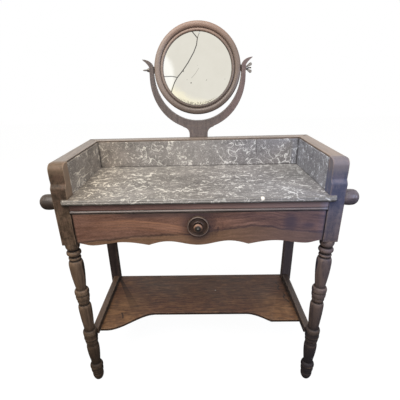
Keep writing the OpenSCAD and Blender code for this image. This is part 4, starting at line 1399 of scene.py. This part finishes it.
def wing_nut(node, side):
    """Wing nut: the left one's wings lie level and the right one's stand upright."""
    put = pivot(side)
    hub = [(BORE_R, NUT_SEAT), (7.2, NUT_SEAT), (7.6, NUT_SEAT + 0.4), (7.4, NUT_SEAT + 1.5),
           (5.4, NUT_TOP - 0.5), (5, NUT_TOP), (BORE_R, NUT_TOP)]
    outline = [(1.5, 3.5), (9, 3.6)] + arc(LOBE, (LOBE_R, LOBE_R), range(-51, 130, 15)) + [(1.5, 6.6)]

    def wing(flip):
        def put_wing(along, out, w):
            across = (out * flip, w - WING_T / 2)
            return put(*(across if side == LEFT else across[::-1]), NUT_SEAT + along)
        return prism(outline, WING_T, put_wing, 0.5, 0.9, belt=0.6)

    look = metal(f"{node}_iron", "#a09890")
    piece(node, [turned(hub, put, 48, 0.8), wing(1), wing(-1)], look, node)


# ---- solids that show as they are

IRONWORK = ("shelf_nails", "yoke_screws", "knob_nut", "backboard_pins")
# In metres: points nearer than WELD are joined, and arrises eased by so much
WELD = 0.00002
IRON_EASE = 0.0002
WOOD_EASE = 0.0006


def soften(kept, width):
    """Eases the arrises of a kept solid."""
    kept.modifiers.new("weld", "WELD").merge_threshold = WELD
    bevel = kept.modifiers.new("eased", "BEVEL")
    bevel.width = width
    bevel.segments = 2
    bevel.limit_method = "ANGLE"
    bevel.angle_limit = radians(50)
    kept.modifiers.new("shading", "WEIGHTED_NORMAL")


def dress_rest():
    """Plain wood and iron for the solids inside, below and behind that have no piece of their own."""
    iron = metal("iron_old", "#6f6a64", 0.5)
    for name, kept in frame["nodes"].items():
        if kept.hide_render:
            continue
        low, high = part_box(name)
        grain = "XYZ"[max(range(3), key=lambda axis: (high - low)[axis])]
        rough = name in IRONWORK
        look = iron if rough else wood(name, grain, PLAIN_BROWN, 0.8, shine=0.7, wear=0.2, kind="pine")
        for slot in kept.material_slots:
            slot.link = "OBJECT"
            slot.material = look
        soften(kept, IRON_EASE if rough else WOOD_EASE)


for word, side in SIDES.items():
    pivot_rod(f"pivot_rod_{word}", side)
    pivot_washer(f"pivot_washer_{word}", side)
    wing_nut(f"wing_nut_{word}", side)
    front_leg(f"front_leg_{word}", side)
    rear_leg(f"rear_leg_{word}", side)
    side_board(f"side_board_{word}", side)
    stretcher(f"stretcher_{word}", side)
    ball_knob(f"towel_knob_front_{word}", side, HALF_W, LEG_Y, 22.5, 0)
    ball_knob(f"towel_knob_rear_{word}", side, REAR_OUT, STAND_D - REAR_LEG[1] / 2, 14, HALF_W - REAR_OUT)
    towel_bar(f"towel_bar_{word}", side)
for make in (back_boards, gallery_cap, front_rail, marble_top, splashes, drawer_front, knob, shelf,
             mirror_yoke, mirror_frame, mirror_glass, dress_rest):
    make()

# ---- stage, light, camera

FLOOR_HALF = 8
SHADOW_SHARE = 0.12
FLOOR_GLOW = 1.08
WHITE = (1.0, 1.0, 1.0)


def floor():
    """Pale floor that keeps the shadow and shows as white as the backdrop."""
    mesh = bpy.data.meshes.new("floor")
    corners = [(x * FLOOR_HALF, y * FLOOR_HALF, 0) for x, y in ((-1, -1), (1, -1), (1, 1), (-1, 1))]
    mesh.from_pydata(corners, [], [(0, 1, 2, 3)])
    s = Shader("floor_white")
    plain = s.node("BsdfDiffuse", {"Color": "#6b6661"}).outputs[0]
    bright = s.node("BsdfDiffuse", {"Color": WHITE}).outputs[0]
    glow = s.node("Emission", {"Color": WHITE, "Strength": FLOOR_GLOW}).outputs[0]
    seen = s.node("LightPath").outputs["Is Camera Ray"]
    white = s.node("MixShader", {0: SHADOW_SHARE, 1: glow, 2: bright}).outputs[0]
    both = s.node("MixShader", {0: seen, 1: plain, 2: white}).outputs[0]
    s.node("OutputMaterial", {"Surface": both})
    mesh.materials.append(s.owner)
    added("floor", mesh)


def lamp(name, at, aim, size, power, colour):
    light = bpy.data.lights.new(name, "AREA")
    light.shape = "DISK"
    light.size = size
    light.energy = power
    light.color = colour
    made = added(name, light)
    made.location = at
    made.rotation_euler = (Vector(aim) - Vector(at)).to_track_quat("-Z", "Y").to_euler()
    return made


def keep_out_of_glass(light):
    """The lamp doesn't light the mirror's glass, so it isn't a glaring disc in the mirror."""
    unlit = bpy.data.collections.new(f"{light.name}_not_on_glass")
    light.light_linking.receiver_collection = unlit
    for made in bpy.data.objects:
        if made.name.startswith("dressed_mirror_glass"):
            unlit.objects.link(made)
    for member in unlit.collection_objects:
        member.light_linking.link_state = "EXCLUDE"


def surroundings(ambient, reflected):
    """A white backdrop where the camera sees it, dimmer in reflections and as plain soft light."""
    s = Shader("studio", "worlds")
    ray = s.node("LightPath").outputs
    shown = s.node("Background", {"Color": ambient}).outputs[0]
    for kind, colour in (("Is Glossy Ray", reflected), ("Is Camera Ray", WHITE)):
        light = s.node("Background", {"Color": colour}).outputs[0]
        shown = s.node("MixShader", {0: ray[kind], 1: shown, 2: light}).outputs[0]
    s.node("OutputWorld", {"Surface": shown})
    bpy.context.scene.world = s.owner


# The photograph's camera, in millimetres, degrees and pixels of its 400 x 400 frame
CAMERA_AT = (14.66, -910.99, 1143.16)
YAW, PITCH, ROLL = radians(-1.51), radians(23.74), radians(1.51)
FOCAL_PX = 317.6
PRINCIPAL_PX = (194.81, 215.0)
IMAGE_PX = 400


def camera():
    ahead = Vector((sin(YAW) * cos(PITCH), cos(YAW) * cos(PITCH), -sin(PITCH)))
    right = Vector((cos(YAW), -sin(YAW), 0))
    down = ahead.cross(right)
    right, down = right * cos(ROLL) + down * sin(ROLL), down * cos(ROLL) - right * sin(ROLL)
    data = bpy.data.cameras.new("camera")
    data.sensor_width = 36
    data.lens = FOCAL_PX / IMAGE_PX * data.sensor_width
    data.shift_x = (IMAGE_PX / 2 - PRINCIPAL_PX[0]) / IMAGE_PX
    data.shift_y = (PRINCIPAL_PX[1] - IMAGE_PX / 2) / IMAGE_PX
    data.clip_start = 0.05
    made = added("camera", data)
    turn = Matrix((right, -down, -ahead)).transposed().to_4x4()
    made.matrix_world = Matrix.Translation(place(*CAMERA_AT)) @ turn
    bpy.context.scene.camera = made


floor()
surroundings((0.36, 0.35, 0.34), (1.0, 0.985, 0.95))
keep_out_of_glass(lamp("key", (-0.5, -1.3, 3.0), (0, 0, 0.7), 2.4, 84, (1, 0.96, 0.91)))
lamp("cool_fill", (1.3, -1.1, 1.3), (0.4, 0, 0.8), 0.7, 9, (0.5, 0.66, 1))
camera()
bpy.context.scene.view_settings.view_transform = "Standard"
